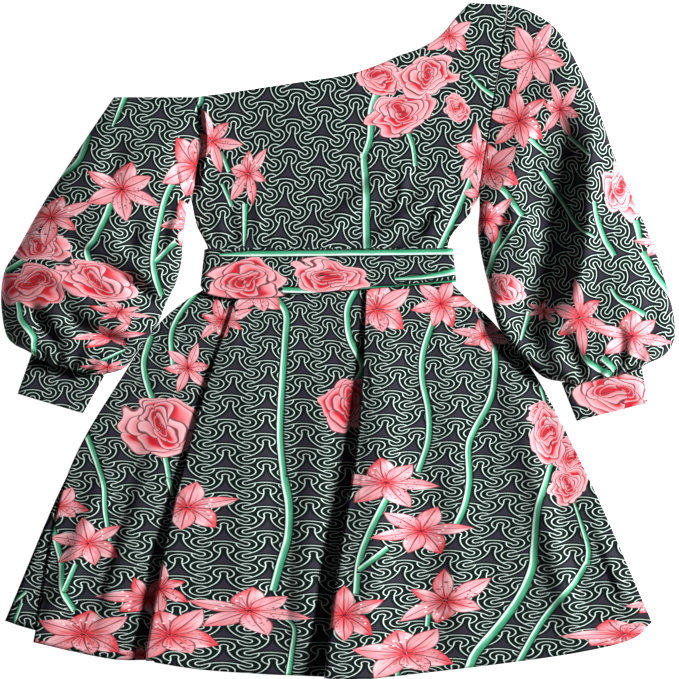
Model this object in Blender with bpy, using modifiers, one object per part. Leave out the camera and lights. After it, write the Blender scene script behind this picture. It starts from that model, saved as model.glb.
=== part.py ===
"""One-shoulder wax print dress, laid flat on a table.

The dress lies on the plane Z = 0, with +X to the right as it is seen from above and +Y towards the neck.
Every panel is an open surface worked out from edge curves and given its thickness by a Solidify modifier.
All sizes below are millimetres. They become metres where a mesh is made.
"""
import bpy
import numpy as np

MM = 0.001

# Driving dimensions
CLOTH = 1.5                # thickness of every wall
GAP = 0.3                  # space between two pieces that lie on each other
SEAM = 0.7                 # space between two pieces that are sewn edge to edge
TABLE = CLOTH / 2          # middle of a wall that lies on the table
LAYER = CLOTH + GAP        # rise from one layer to the next
WAIST_Y = 97.0             # height of the waist seam
BELT_BAND = (46.0, 143.0)  # from y to y, the stretch of a back panel that lies on the belt's back strip
BELT_SLOPE = 26.0          # length over which a panel climbs from the table onto that strip
FRONT_SPREAD = 9.0         # the front panels start to climb this much sooner
BELT_GRIP = (6.0, 60.0)    # the skirt's ridges start this far above the band's lower edge, over this length

# Edges in plan, each point an (x, y). A point given twice is a corner.
NECK_LEFT = (-210, 352)
NECK_RIGHT = (189, 489)
SHOULDER = (243, 486)
UNDERARM_LEFT = (-215, 204)
UNDERARM_RIGHT = (202, 208)
WAIST_LEFT = (-189, WAIST_Y)
WAIST_RIGHT = (161, WAIST_Y)
NECKLINE = [NECK_LEFT, (-144, 361), (-57, 374), (8, 384), (51, 397), (88, 413), (117, 423), (146, 441),
            (169, 468), NECK_RIGHT, NECK_RIGHT, SHOULDER]
ARMHOLE_LEFT = [NECK_LEFT, (-205, 322), (-202, 283), (-207, 244), UNDERARM_LEFT]
ARMHOLE_RIGHT = [SHOULDER, (237, 428), (227, 370), (218, 310), (210, 261), UNDERARM_RIGHT]
BODICE_SIDE_LEFT = [UNDERARM_LEFT, (-207, 167), (-198, 149), (-190, 130), WAIST_LEFT]
BODICE_SIDE_RIGHT = [UNDERARM_RIGHT, (189, 183), (173, 165), (160, 147), (157, 125), WAIST_RIGHT]
WAIST = [WAIST_LEFT, (-14, WAIST_Y), WAIST_RIGHT]
BODICE_DOWN = 1 - np.linspace(1, 0, 15) ** 1.6      # the bodice's rows, closer together at the waist

SKIRT_LEFT = [(-186, 96), (-189, 86), (-194, 76), (-205, 68), (-222, 58), (-263, 22), (-308, -42)]
SKIRT_RIGHT = [(160, 96), (162, 86), (167, 78), (189, 57), (228, 20), (286, -54), (366, -210), (453, -409)]
FRONT_HEM_LEFT = [(-444, -438), (-384, -452), (-326, -463), (-279, -464)]
FRONT_HEM_MIDDLE = [(-279, -464), (-202, -477), (-115, -484), (-22, -488)]
FRONT_HEM_RIGHT = [(-22, -488), (44, -490), (196, -474), (334, -455), (421, -435), (453, -409)]
BACK_HEM = [(-485, -407), (-444, -420), (-326, -447), (-173, -463), (-14, -472), (196, -460), (334, -441),
            (421, -421), (449, -400)]
FOLD_A = [(-144, 96), (-156, 41), (-183, -38), (-210, -129), (-244, -261), (-276, -432), (-279, -464)]
FOLD_B = [(40, 96), (33, -61), (24, -162), (9, -255), (-5, -347), (-22, -488)]

SKIRT_DOWN = np.linspace(0, 1, 15) ** 1.45          # the skirt's rows, closer together at the waist
SIDE_FLAT = 3.5            # the skirt's ridges fade out over 1/3.5 of a stretch beside its side seam
SIDE_HELD = 12.0           # those of the bodice fade out over a twelfth of it

# The two unpressed skirt folds. Each row is a place down the fold, from 0 at the waist to 1 at the hem,
# with the width of cloth tucked under the edge and the step from one of its three layers to the next.
FOLD_A_ROWS = [(0.0, 14.0, 2.3), (0.15, 14.0, 2.6), (0.5, 13.0, 4.5), (1.0, 12.0, 6.5)]
FOLD_B_ROWS = [(0.0, 14.0, 2.3), (0.15, 14.0, 2.6), (0.35, 13.0, 3.6), (0.7, 13.0, 8.0), (1.0, 13.0, 11.5)]
FOLD_FALL = 150.0          # distance from a fold over which its upper layer comes down to the back panel
FOLD_CLEAR = 1.6           # tucked widths from a fold at which the plain columns of the upper layer start

# A ridge or trough fades at each end over about a fifth of its length.
END_FADE = 5.0

# Soft ridges of the skirt: start x and y, end x and y, half width, height at the start and at the end.
SKIRT_RIDGES = [
    (-200, 20, -352, -450, 38, 1.0, 6.0),
    (-110, 40, -150, -480, 34, 1.5, 3.0),
    (100, 45, 80, -490, 45, 2.0, 5.0),
    (165, 40, 230, -480, 40, 2.0, 6.0),
    (235, -20, 372, -450, 34, 4.0, 12.0),
]
# Soft ridges of the bodice, in the same columns.
BODICE_RIDGES = [
    (-165, 130, -178, 190, 9, 2.2, 0.0),
    (-143, 130, -150, 205, 9, 2.6, 0.0),
    (-120, 130, -116, 215, 9, 2.4, 0.0),
    (-30, 135, 95, 245, 16, 0.6, 2.6),
    (20, 110, 160, 235, 14, 0.8, 2.4),
    (70, 110, 175, 190, 12, 1.2, 2.0),
    (-120, 330, 120, 330, 90, 1.2, 1.6),
]

UNDERARM_TURN = 6.0        # a sleeve's edge leaves the armhole this far above the underarm corner

# Sleeves: the outer edge and the inner, underarm edge, both from the armhole to the cuff.
OFF_OUTER = [(-326, 352), (-360, 302), (-402, 238), (-431, 193), (-466, 130), (-484, 99), (-489, 58),
             (-483, 12), (-470, -6), (-444.8, -17.4)]
OFF_INNER = [(-218, 202), (-223, 181), (-227, 145), (-229, 116), (-237, 83), (-252, 52), (-264, 23),
             (-291, -14), (-308, -37), (-322, -45), (-339.6, -48.9)]
SHOULDER_OUTER = [(244, 486), (276, 476), (312, 452), (337, 413), (373, 338), (398, 265), (434, 184),
                  (459, 123), (478, 59), (485, 23), (483, -2), (468, -23), (436.9, -36.7)]
SHOULDER_INNER = [(204, 206), (203, 182), (201, 157), (206, 123), (217, 74), (230, 22), (250, -10), (268, -29),
                  (288, -48), (302, -56), (322.2, -59.8)]
# Rows of a sleeve: place of its top wall from 0 at the armhole to 1 at the cuff's seam, how far the puff hangs
# past that seam, place of its wall on the table, height of the top wall over the table, height of the widest
# line, and the width over which the top wall rounds up from that line.
SLEEVE_ROWS = [
    (0.00, 0.0, 0.00, 3.6, 2.1, 2.6),
    (0.05, 0.0, 0.05, 6.0, 3.0, 9.0),
    (0.12, 0.0, 0.12, 11.0, 4.5, 24.0),
    (0.22, 0.0, 0.22, 20.0, 7.0, 50.0),
    (0.33, 0.0, 0.33, 27.0, 9.0, 74.0),
    (0.45, 0.0, 0.44, 32.0, 11.0, 88.0),
    (0.57, 0.0, 0.55, 36.0, 12.5, 95.0),
    (0.69, 0.0, 0.66, 39.0, 13.5, 95.0),
    (0.80, 0.0, 0.76, 40.0, 14.0, 88.0),
    (0.89, 0.0, 0.85, 37.0, 13.5, 66.0),
    (0.96, 2.0, 0.91, 32.0, 13.0, 44.0),
    (1.00, 5.5, 0.95, 25.0, 12.5, 26.0),
    (1.00, 7.0, 0.97, 18.5, 11.5, 16.0),
    (1.00, 5.5, 0.98, 14.4, 10.0, 10.0),
    (1.00, -0.6, 0.99, 12.4, 8.0, 8.0),
    (1.00, -0.6, 1.00, 8.9, 5.5, 7.0),
]
# Troughs of each sleeve: start x and y, end x and y, half width, depth at the start and at the end.
OFF_TROUGHS = [
    (-365, 128, -297, 70, 10, 3.0, 7.0),
    (-297, 70, -258, 26, 10, 7.0, 4.0),
    (-392, 33, -282, -14, 11, 5.0, 8.0),
    (-440, 40, -405, -10, 12, 3.0, 6.0),
    (-255, 190, -262, 110, 10, 3.0, 3.0),
]
SHOULDER_TROUGHS = [
    (355, 320, 365, 257, 13, 3.0, 9.0),
    (365, 257, 342, 156, 17, 9.0, 14.0),
    (342, 156, 304, 60, 18, 14.0, 15.0),
    (304, 60, 268, -38, 15, 15.0, 7.0),
    (292, 290, 262, 203, 14, 4.0, 6.0),
    (262, 222, 216, 158, 18, 6.0, 8.0),
]
SLEEVE_SIDE = 2.8          # least radius of a sleeve's side
SLEEVE_INSET = 0.95        # part of that radius by which the wall on the table stops short of the side
ARMHOLE_HELD = 8.0         # gathers and troughs start over an eighth of the sleeve from the armhole
SEAM_TOP = 15.0            # rows lower than this at the cuff are held by its seam, with no gathers
HANG_SIDE = 24.0           # distance from a sleeve's edges over which its puff comes to hang over the cuff
GATHERS = 6                # full gathers across a flattened sleeve end
GATHER_DEPTH = 1.8         # half of the height of a gather
GATHER_START = 0.76        # place along the sleeve where the gathers begin

# Cuffs: corners at the sleeve's left and right edge, then at the wrist's right and left edge.
CUFF_OFF = [(-445.2, -18.6), (-340.0, -50.1), (-372, -106), (-466, -78)]
CUFF_SHOULDER = [(322, -61.5), (437.4, -38.5), (447, -91), (344, -117)]
CUFF_HEIGHT = 8.6          # height of a cuff's top wall over the table
CUFF_SIDE = 4.4            # height of a cuff's widest line
CUFF_ROUNDING = 16.0       # width over which its top wall rounds up

# Belt: its upper and lower edge, from left to right, and the soft fold along it.
BELT_TOP = [(-195, 131), (-172, 133), (-14, 133), (164, 133)]
BELT_BOTTOM = [(-201, 78), (-188, 66), (-133, 60), (-4, 71), (169, 84)]
BELT_HEIGHT = 11.4         # height of the belt's front strip over the table
BELT_FOLD = [(-201, 103), (18, 112), (170, 113)]
BELT_FOLD_DEPTH = 1.6
BELT_FOLD_WIDTH = 7.0
BELT_ROUNDING = 9.0        # width over which the front strip rounds up from the belt's ends
BELT_INSET = 4.0           # the back strip stops this much short of the belt's ends

GROUND = (0.030, 0.038, 0.040, 1.0)   # dark ground of the print
BELT_TONE = (0.050, 0.085, 0.070, 1.0)


def ease(t):
    """Smooth step from 0 to 1."""
    t = np.clip(t, 0.0, 1.0)
    return t * t * (3.0 - 2.0 * t)


def smooth(points, where):
    """Points at the fractions `where` of the length of a smooth curve through `points`."""
    p = np.array(points, float)
    ends = np.vstack([2 * p[0] - p[1], p, 2 * p[-1] - p[-2]])
    t = np.linspace(0.0, 1.0, 12, endpoint=False)[:, None]
    runs = []
    for a, b, c, d in zip(ends, ends[1:], ends[2:], ends[3:]):
        if (b == c).all():
            continue
        cubic = (3 * b - a - 3 * c + d) * t ** 3 + (2 * a - 5 * b + 4 * c - d) * t ** 2
        runs.append(b + 0.5 * (cubic + (c - a) * t))
    dense = np.vstack(runs + [p[-1:]])
    length = np.concatenate([[0.0], np.cumsum(np.hypot(*np.diff(dense, axis=0).T))])
    place = np.asarray(where) * length[-1]
    return np.stack([np.interp(place, length, dense[:, k]) for k in (0, 1)], axis=-1)


def patch(top, bottom, left, right, across, down):
    """Plan points between four edge curves: a Coons patch, rows run down and columns run across."""
    t, b = smooth(top, across), smooth(bottom, across)
    l, r = smooth(left, down)[:, None], smooth(right, down)[:, None]
    u, v = across[None, :, None], down[:, None, None]
    corners = (1 - u) * (1 - v) * t[0] + u * (1 - v) * t[-1] + (1 - u) * v * b[0] + u * v * b[-1]
    return (1 - v) * t + v * b + (1 - u) * l + u * r - corners


def ridges(xy, rows):
    """Height of soft ridges at plan points: a bell across each line, linear along it, faded at its ends."""
    height = np.zeros(xy.shape[:-1])
    for x0, y0, x1, y1, half_width, start, end in rows:
        line = np.array([x1 - x0, y1 - y0], float)
        length = np.hypot(*line)
        along = ((xy - (x0, y0)) @ line) / length ** 2
        across = ((xy - (x0, y0)) @ (line[1], -line[0])) / length
        fade = ease(along * END_FADE + 0.5) * ease((1 - along) * END_FADE + 0.5)
        size = start + (end - start) * np.clip(along, 0, 1)
        height += size * fade * np.exp(-(across / half_width) ** 2)
    return height


def over_belt(y, spread=0.0):
    """Rise of a panel over the belt's back strip. A front panel's rise is spread wider than a back panel's."""
    low, high = BELT_BAND[0] - spread, BELT_BAND[1] + spread
    return LAYER * ease((y - low + BELT_SLOPE) / BELT_SLOPE) * ease((high + BELT_SLOPE - y) / BELT_SLOPE)


def below_belt(y):
    """0 where the belt holds the skirt down, 1 where the skirt is free."""
    return ease((BELT_BAND[0] + BELT_GRIP[0] - y) / BELT_GRIP[1])


def cloth(name, grid, collection, colour, ring=False):
    """A cloth piece: a grid of points in millimetres, thickened. A ring joins its last column to the first."""
    rows, columns = grid.shape[:2]
    index = np.arange(rows * columns).reshape(rows, columns)
    if ring:
        index = np.hstack([index, index[:, :1]])
    faces = np.stack([index[:-1, :-1], index[1:, :-1], index[1:, 1:], index[:-1, 1:]], axis=-1)
    mesh = bpy.data.meshes.new(name)
    mesh.from_pydata((grid.reshape(-1, 3) * MM).tolist(), [], faces.reshape(-1, 4).tolist())
    mesh.update()
    mesh.shade_smooth()
    material = bpy.data.materials.new(name + "_cotton")
    material.use_nodes = True
    shader = material.node_tree.nodes["Principled BSDF"]
    shader.inputs["Base Color"].default_value = colour
    shader.inputs["Roughness"].default_value = 0.75
    shader.inputs["Metallic"].default_value = 0.0
    mesh.materials.append(material)
    piece = bpy.data.objects.new(name, mesh)
    collection.objects.link(piece)
    wall = piece.modifiers.new("Cloth", 'SOLIDIFY')
    wall.thickness = CLOTH * MM
    wall.offset = 0.0
    return piece


def seam(armhole, side, start, end):
    """The edge of a sleeve along an armhole: the bodice's own edge points moved out by the seam's gap."""
    edge = smooth(armhole + side, BODICE_DOWN)
    edge = edge[edge[:, 1] > armhole[-1][1] + UNDERARM_TURN]
    out = -1 if armhole[0][0] < 0 else 1
    return [start] + [(x + out * SEAM, y) for x, y in edge[1:]] + [end]


def raised(plan, height):
    """Plan points with a height, as one grid of 3-D points."""
    return np.concatenate([plan, np.broadcast_to(height, plan.shape[:2])[..., None]], axis=-1)


def bodice(collection):
    """Front and back bodice, cut alike. The front carries the gathers and drag lines."""
    left = ARMHOLE_LEFT + BODICE_SIDE_LEFT
    right = ARMHOLE_RIGHT + BODICE_SIDE_RIGHT
    down = BODICE_DOWN
    across = np.linspace(0, 1, 31)
    plan = patch(NECKLINE, WAIST, left, right, across, down)
    held = ease(across * SIDE_HELD) * ease((1 - across) * SIDE_HELD) * ease(down * SIDE_HELD)[:, None]
    soft = held * np.maximum(ridges(plan, BODICE_RIDGES), 0)
    height = TABLE + LAYER + over_belt(plan[..., 1], FRONT_SPREAD) + soft
    cloth("bodice_front", raised(plan, height), collection, GROUND)
    across = np.linspace(0, 1, 11)
    plan = patch(NECKLINE, WAIST, left, right, across, down)
    cloth("bodice_back", raised(plan, TABLE + over_belt(plan[..., 1])), collection, GROUND)


def fold_columns(tuck, step, low):
    """The S of one fold across its edge: distance from the edge and height, for one row of the skirt.

    The lower layer runs under the edge, turns back, and turns again at the edge into the upper layer.
    """
    r = step / 2
    turn = np.radians([-90, -45, 0, 45, 90])
    under = [(0.5 * (tuck - r), low)]
    back = [(tuck - r + r * np.cos(a), low + r + r * np.sin(a)) for a in turn]
    edge = [(r - r * np.cos(a), low + step + r + r * np.sin(a)) for a in turn]
    over = [(0.5 * tuck + r, low + 2 * step)]
    return np.array(under + back + edge + over)


def folded(plan_points, side, rows, down, low):
    """All the rows of one fold: its columns as 3-D points, from the fold line and its rightward side."""
    place, tucks, steps = np.array(rows).T
    grid = []
    for point, out, v, base in zip(plan_points, side, down, low):
        profile = fold_columns(np.interp(v, place, tucks), np.interp(v, place, steps), base)
        flat = point + out * profile[:, :1]
        grid.append(np.concatenate([flat, profile[:, 1:]], axis=-1))
    return np.array(grid)


def rightward(line):
    """Unit vectors at right angles to a line that runs down, pointing to its right."""
    run = np.gradient(line, axis=0)
    run /= np.hypot(run[:, 0], run[:, 1])[:, None]
    return np.stack([-run[:, 1], run[:, 0]], axis=-1)


def skirt_front(collection):
    """Front skirt: three stretches of one panel, joined by two folds whose upper layer runs to the right."""
    down = SKIRT_DOWN
    waist_a, waist_b = FOLD_A[0], FOLD_B[0]
    left_side = SKIRT_LEFT + [(-397, -203), (-444, -438)]
    stretches = [
        patch([left_side[0], waist_a], FRONT_HEM_LEFT, left_side, FOLD_A, np.linspace(0, 1, 9), down),
        patch([waist_a, waist_b], FRONT_HEM_MIDDLE, FOLD_A, FOLD_B, np.linspace(0, 1, 13), down),
        patch([waist_b, SKIRT_RIGHT[0]], FRONT_HEM_RIGHT, FOLD_B, SKIRT_RIGHT, np.linspace(0, 1, 17), down),
    ]
    lines = [smooth(FOLD_A, down), smooth(FOLD_B, down)]
    tops = [0.0, 0.0, 0.0]
    for number, rows in ((1, FOLD_A_ROWS), (2, FOLD_B_ROWS)):
        place, _, steps = np.array(rows).T
        tops[number] = 2 * np.interp(down, place, steps)
    floors = [TABLE + LAYER + over_belt(s[..., 1], FRONT_SPREAD) for s in stretches]
    grid = []
    for number, (plan, floor) in enumerate(zip(stretches, floors)):
        if number:
            rows = FOLD_A_ROWS if number == 1 else FOLD_B_ROWS
            line = lines[number - 1]
            grid.append(folded(line, rightward(line), rows, down, floor[:, 0]))
            tuck = np.interp(down, *np.array(rows)[:, :2].T)
            clear = np.hypot(*(plan - line[:, None]).transpose(2, 0, 1)) > FOLD_CLEAR * tuck.max()
            keep = clear.all(axis=0)
            plan, floor = plan[:, keep], floor[:, keep]
        away = np.hypot(*(plan - plan[:, :1]).transpose(2, 0, 1)) if number else np.zeros(plan.shape[:2])
        ramp = 1 - ease(away / FOLD_FALL)
        from_left = np.linspace(0, 1, plan.shape[1])
        edge = np.ones(plan.shape[1])
        if number == 0:
            edge = ease(from_left * SIDE_FLAT) * ease((1 - from_left) * SIDE_FLAT)
        if number == 2:
            edge = ease((1 - from_left) * SIDE_FLAT)
        soft = ridges(plan, SKIRT_RIDGES) * below_belt(plan[..., 1]) * edge
        top = np.broadcast_to(tops[number], down.shape)[:, None]
        grid.append(raised(plan, floor + top * ramp + soft))
    cloth("skirt_front", np.concatenate(grid, axis=1), collection, GROUND)


def skirt_back(collection):
    """Back skirt, flat on the table but for its climb over the belt. It shows past the front at the left."""
    left = SKIRT_LEFT + [(-398, -203), (-485, -407)]
    right = SKIRT_RIGHT[:-1] + [(449, -400)]
    across, down = np.linspace(0, 1, 15), SKIRT_DOWN
    plan = patch([left[0], right[0]], BACK_HEM, left, right, across, down)
    cloth("skirt_back", raised(plan, TABLE + over_belt(plan[..., 1])), collection, GROUND)


def pick(plan, where):
    """Plan points at fractions of each row, from a plan whose columns are evenly spaced."""
    even = np.linspace(0, 1, plan.shape[1])
    return np.array([[[np.interp(w, even, row[:, k]) for k in (0, 1)] for w in places]
                     for row, places in zip(plan, where)])


def tube(plan, low_plan, below, above, inset, side, height):
    """A flattened tube from the plans of its top wall and of its wall on the table, as rings of points.

    Each ring runs along the table from right to left, up round the left side, over the top and down again.
    The wall on the table stops `inset` short of the widest line, which is `side` high. `height` gives the
    top wall's height from the fractions across it. Columns: `below` on the table and `above` on top.
    """
    width = np.hypot(*np.diff(plan, axis=1).transpose(2, 0, 1)).sum(axis=1)
    i = (np.broadcast_to(inset, width.shape) / width)[:, None]
    side = np.broadcast_to(side, width.shape)[:, None]
    arc = 0.29                                    # what is left of a radius at 45 degrees round an arc
    inner = i + (1 - 2 * i) * np.linspace(0, 1, above)
    over = np.hstack([0 * i, arc * i, inner, 1 - arc * i, 1 + 0 * i])
    bottom = 1 - i - (1 - 2 * i) * np.linspace(0, 1, below)
    bend = TABLE + (side - TABLE) * arc
    bends = [(pick(low_plan, x) + pick(plan, x)) / 2 for x in (arc * i, 1 - arc * i)]
    rings = [raised(pick(low_plan, bottom), TABLE), raised(bends[0], bend),
             raised(pick(plan, over), height(over)), raised(bends[1], bend)]
    return np.concatenate(rings, axis=1)


def rounding(where, width, reach):
    """0 at both edges of a row and 1 inside, along a quarter circle over the distance `reach`."""
    away = np.minimum(where, 1 - where) * width
    return np.sqrt(1 - (1 - np.clip(away / reach, 0, 1)) ** 2)


def sleeve(name, top_edge, cuff_corners, left, right, troughs, collection):
    """A balloon sleeve: flat at the armhole, domed in the middle, its puff hanging over the gathered seam."""
    place, past, low_place, top, side, reach = np.array(SLEEVE_ROWS).T
    a, b, c, d = [np.array(corner, float) for corner in cuff_corners]
    wrist_way = (c + d - a - b) / np.hypot(*(c + d - a - b))
    end = [left[-1], right[-1]]
    columns = np.linspace(0, 1, 49)
    low_plan = patch(top_edge, end, left, right, columns, low_place)
    width = np.hypot(*np.diff(low_plan, axis=1).transpose(2, 0, 1)).sum(axis=1)[:, None]
    hung = patch(top_edge, end, left, right, columns, place) + past[:, None, None] * wrist_way
    off_side = ease(np.minimum(columns, 1 - columns) * width / HANG_SIDE)[..., None]
    plan = low_plan + off_side * (hung - low_plan)
    near_cuff = ease((place - GATHER_START) / (1 - GATHER_START))[:, None]
    free = (ease(place * ARMHOLE_HELD) * (past >= 0) * (top > SEAM_TOP))[:, None]

    def height(where):
        round_up = rounding(where, width, reach[:, None])
        waves = GATHER_DEPTH * np.cos(2 * np.pi * GATHERS * where) * near_cuff
        dents = ridges(pick(plan, where), troughs)
        round_in = ease(round_up * 1.5 - 0.5)
        return side[:, None] + (top - side)[:, None] * round_up + (waves - dents) * free * round_in

    inset = SLEEVE_INSET * np.maximum(side, SLEEVE_SIDE)
    cloth(name, tube(plan, low_plan, 7, 25, inset, side, height), collection, GROUND, ring=True)


def cuff(name, corners, collection):
    """A cuff: a flattened band ring between four corners."""
    a, b, c, d = [np.array(corner, float) for corner in corners]
    u, v = np.linspace(0, 1, 9)[None, :, None], np.linspace(0, 1, 4)[:, None, None]
    plan = (1 - v) * ((1 - u) * a + u * b) + v * ((1 - u) * d + u * c)
    width = np.hypot(*(b - a))

    def height(where):
        return CUFF_SIDE + (CUFF_HEIGHT - CUFF_SIDE) * rounding(where, width, CUFF_ROUNDING)

    cloth(name, tube(plan, plan, 5, 9, CUFF_SIDE, CUFF_SIDE, height), collection, GROUND, ring=True)


def belt(collection):
    """The belt: a wide strip round the waist, its back strip on the table and a soft fold along its front."""
    across = np.linspace(0, 1, 25)
    v = np.linspace(0, 1, 7)[:, None, None]
    plan = (1 - v) * smooth(BELT_TOP, across) + v * smooth(BELT_BOTTOM, across)
    width = plan[:, -1:, 0] - plan[:, :1, 0]
    side = BELT_HEIGHT / 2

    def height(where):
        points = pick(plan, where)
        fold_y = np.interp(points[..., 0], *np.array(BELT_FOLD).T)
        ply = BELT_FOLD_DEPTH * (1 - np.exp(-((points[..., 1] - fold_y) / BELT_FOLD_WIDTH) ** 2))
        round_up = rounding(where, width, BELT_ROUNDING)
        return side + (BELT_HEIGHT - side) * round_up + ply * ease(round_up * 2 - 1)

    cloth("belt", tube(plan, plan, 7, 19, BELT_INSET, side, height), collection, BELT_TONE, ring=True)


def main():
    for item in list(bpy.data.objects):
        bpy.data.objects.remove(item, do_unlink=True)
    dress = bpy.data.collections.new("wax_print_dress")
    bpy.context.scene.collection.children.link(dress)
    bodice(dress)
    skirt_front(dress)
    skirt_back(dress)
    neck = (NECK_LEFT[0] - SEAM, NECK_LEFT[1])
    off_top = [OFF_OUTER[0]] + seam(ARMHOLE_LEFT, BODICE_SIDE_LEFT, neck, OFF_INNER[0])
    off_top.insert(1, neck)
    shoulder_top = seam(ARMHOLE_RIGHT, BODICE_SIDE_RIGHT, SHOULDER_OUTER[0], SHOULDER_INNER[0])[::-1]
    sleeve("sleeve_off_shoulder", off_top, CUFF_OFF, OFF_OUTER, OFF_INNER, OFF_TROUGHS, dress)
    sleeve("sleeve_shoulder", shoulder_top, CUFF_SHOULDER, SHOULDER_INNER, SHOULDER_OUTER,
           SHOULDER_TROUGHS, dress)
    cuff("cuff_off_shoulder", CUFF_OFF, dress)
    cuff("cuff_shoulder", CUFF_SHOULDER, dress)
    belt(dress)


main()
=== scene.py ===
# %% [markdown]
# # A wax print dress, laid flat
#
# The dress is sewn from nine pieces of printed cotton: front and back bodice, front and back skirt, two
# balloon sleeves, two cuffs and a belt. A plain solid of each piece is already there, as a frame with the
# right sizes. This lesson makes the cloth that is seen: thin shells on the same forms, with finer creases,
# and a print that is worked out by shader nodes. First the frame is loaded.

# %% Load the frame
import bpy
import numpy as np
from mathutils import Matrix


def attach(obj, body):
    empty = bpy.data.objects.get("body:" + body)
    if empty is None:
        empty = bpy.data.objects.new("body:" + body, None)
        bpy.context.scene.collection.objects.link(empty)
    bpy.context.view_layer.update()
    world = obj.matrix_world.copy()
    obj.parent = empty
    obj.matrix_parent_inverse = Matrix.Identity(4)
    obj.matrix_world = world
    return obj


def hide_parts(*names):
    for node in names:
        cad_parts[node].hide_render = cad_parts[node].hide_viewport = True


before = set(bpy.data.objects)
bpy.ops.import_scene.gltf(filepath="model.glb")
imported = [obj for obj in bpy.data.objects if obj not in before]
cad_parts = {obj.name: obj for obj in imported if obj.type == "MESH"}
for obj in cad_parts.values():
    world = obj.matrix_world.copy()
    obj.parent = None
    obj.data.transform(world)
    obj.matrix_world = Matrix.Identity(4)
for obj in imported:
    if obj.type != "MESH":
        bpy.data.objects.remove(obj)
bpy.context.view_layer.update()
MM = 0.001
print("pieces in the frame:", ", ".join(sorted(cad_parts)))

# %% [markdown]
# ## Curves and patches
#
# A cut panel has four edges. Each edge is a smooth curve through a few points, and the inside of the panel
# is blended from its edges. That is a Coons patch: rows run down the panel and columns run across it. It
# could also be modelled by hand from a plane, but edges given as numbers keep the panel exactly on its
# pattern.

# %% Smooth steps and curves
SPAN_STEPS = 24            # points of a smooth curve from one given point to the next


def ease(t):
    """Smooth step: 0 below 0, 1 above 1 and 3t^2 - 2t^3 between."""
    t = np.clip(t, 0.0, 1.0)
    return t * t * (3.0 - 2.0 * t)


def cubic(p, steps):
    """Points along a smooth curve through the rows of p: each span is the cubic that leaves a point in the
    direction from the point before it to the point after it. A point given twice is a corner."""
    ends = np.vstack([2 * p[0] - p[1], p, 2 * p[-1] - p[-2]])
    t = np.linspace(0.0, 1.0, steps, endpoint=False)[:, None]
    runs = []
    for a, b, c, d in zip(ends, ends[1:], ends[2:], ends[3:]):
        if (b == c).all():
            continue
        bend = (3 * b - a - 3 * c + d) * t ** 3 + (2 * a - 5 * b + 4 * c - d) * t ** 2
        runs.append(b + 0.5 * (bend + (c - a) * t))
    return np.vstack(runs + [p[-1:]])


def smooth(points, where):
    """Points at the fractions `where` of the length of the smooth curve through `points`."""
    dense = cubic(np.array(points, float), SPAN_STEPS)
    length = np.concatenate([[0.0], np.cumsum(np.hypot(*np.diff(dense, axis=0).T))])
    place = np.asarray(where) * length[-1]
    return np.stack([np.interp(place, length, dense[:, k]) for k in (0, 1)], axis=-1)


print("half way along a quarter of a ring:", smooth([(10, 0), (7, 7), (0, 10)], 0.5).round(1))


# %% Patches
def patch(top, bottom, left, right, across, down):
    """Coons patch: the blend of top and bottom edges plus the blend of left and right edges, minus the
    blend of the four corners."""
    t, b = smooth(top, across), smooth(bottom, across)
    left, right = smooth(left, down)[:, None], smooth(right, down)[:, None]
    u, v = across[None, :, None], down[:, None, None]
    corners = (1 - u) * (1 - v) * t[0] + u * (1 - v) * t[-1] + (1 - u) * v * b[0] + u * v * b[-1]
    return (1 - v) * t + v * b + (1 - u) * left + u * right - corners


halves = np.linspace(0, 1, 3)
square = patch([(0, 10), (10, 10)], [(0, 0), (10, 0)], [(0, 10), (0, 0)], [(10, 10), (10, 0)], halves, halves)
print("the middle of a square's patch:", square[1, 1])


# %% Rows of a patch
def pick(plan, where):
    """Plan points at fractions of each row, from a plan whose columns are evenly spaced."""
    place = np.clip(where, 0, 1) * (plan.shape[1] - 1)
    first = np.minimum(place.astype(int), plan.shape[1] - 2)
    part = (place - first)[..., None]
    row = np.arange(len(plan))[:, None]
    return plan[row, first] * (1 - part) + plan[row, first + 1] * part


def row_width(plan):
    """Length of each row of plan points."""
    return np.hypot(*np.diff(plan, axis=1).transpose(2, 0, 1)).sum(axis=1)


def raised(plan, height):
    """Plan points with a height, as one grid of 3-D points."""
    return np.concatenate([plan, np.broadcast_to(height, plan.shape[:2])[..., None]], axis=-1)


# %% [markdown]
# ## Creases
#
# Cotton keeps soft creases where it is gathered, pulled or folded. Each crease is a short curved line with
# a width and a height: a ridge where the height is above zero and a trough where it is below. Simulated
# cloth would crease by itself, but not where this dress has its creases, so they are placed one by one. All
# of them, and the print later, are charted on squared paper: one square is 1.45 mm, x counts to the right
# and y counts down from the sheet's top left corner.

# %% Squared paper
SQUARE = 1.45              # millimetres
SHEET_SIZE = 679           # squares
SHEET_MIDDLE = (339.5, 340.0)


def chart(x, y):
    """Plan position in millimetres of a point on the squared paper."""
    right, up = np.asarray(x) - SHEET_MIDDLE[0], SHEET_MIDDLE[1] - np.asarray(y)
    return np.stack([right * SQUARE, up * SQUARE], axis=-1)


print("the sheet's top left corner lies at", chart(0, 0), "millimetres")


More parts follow.
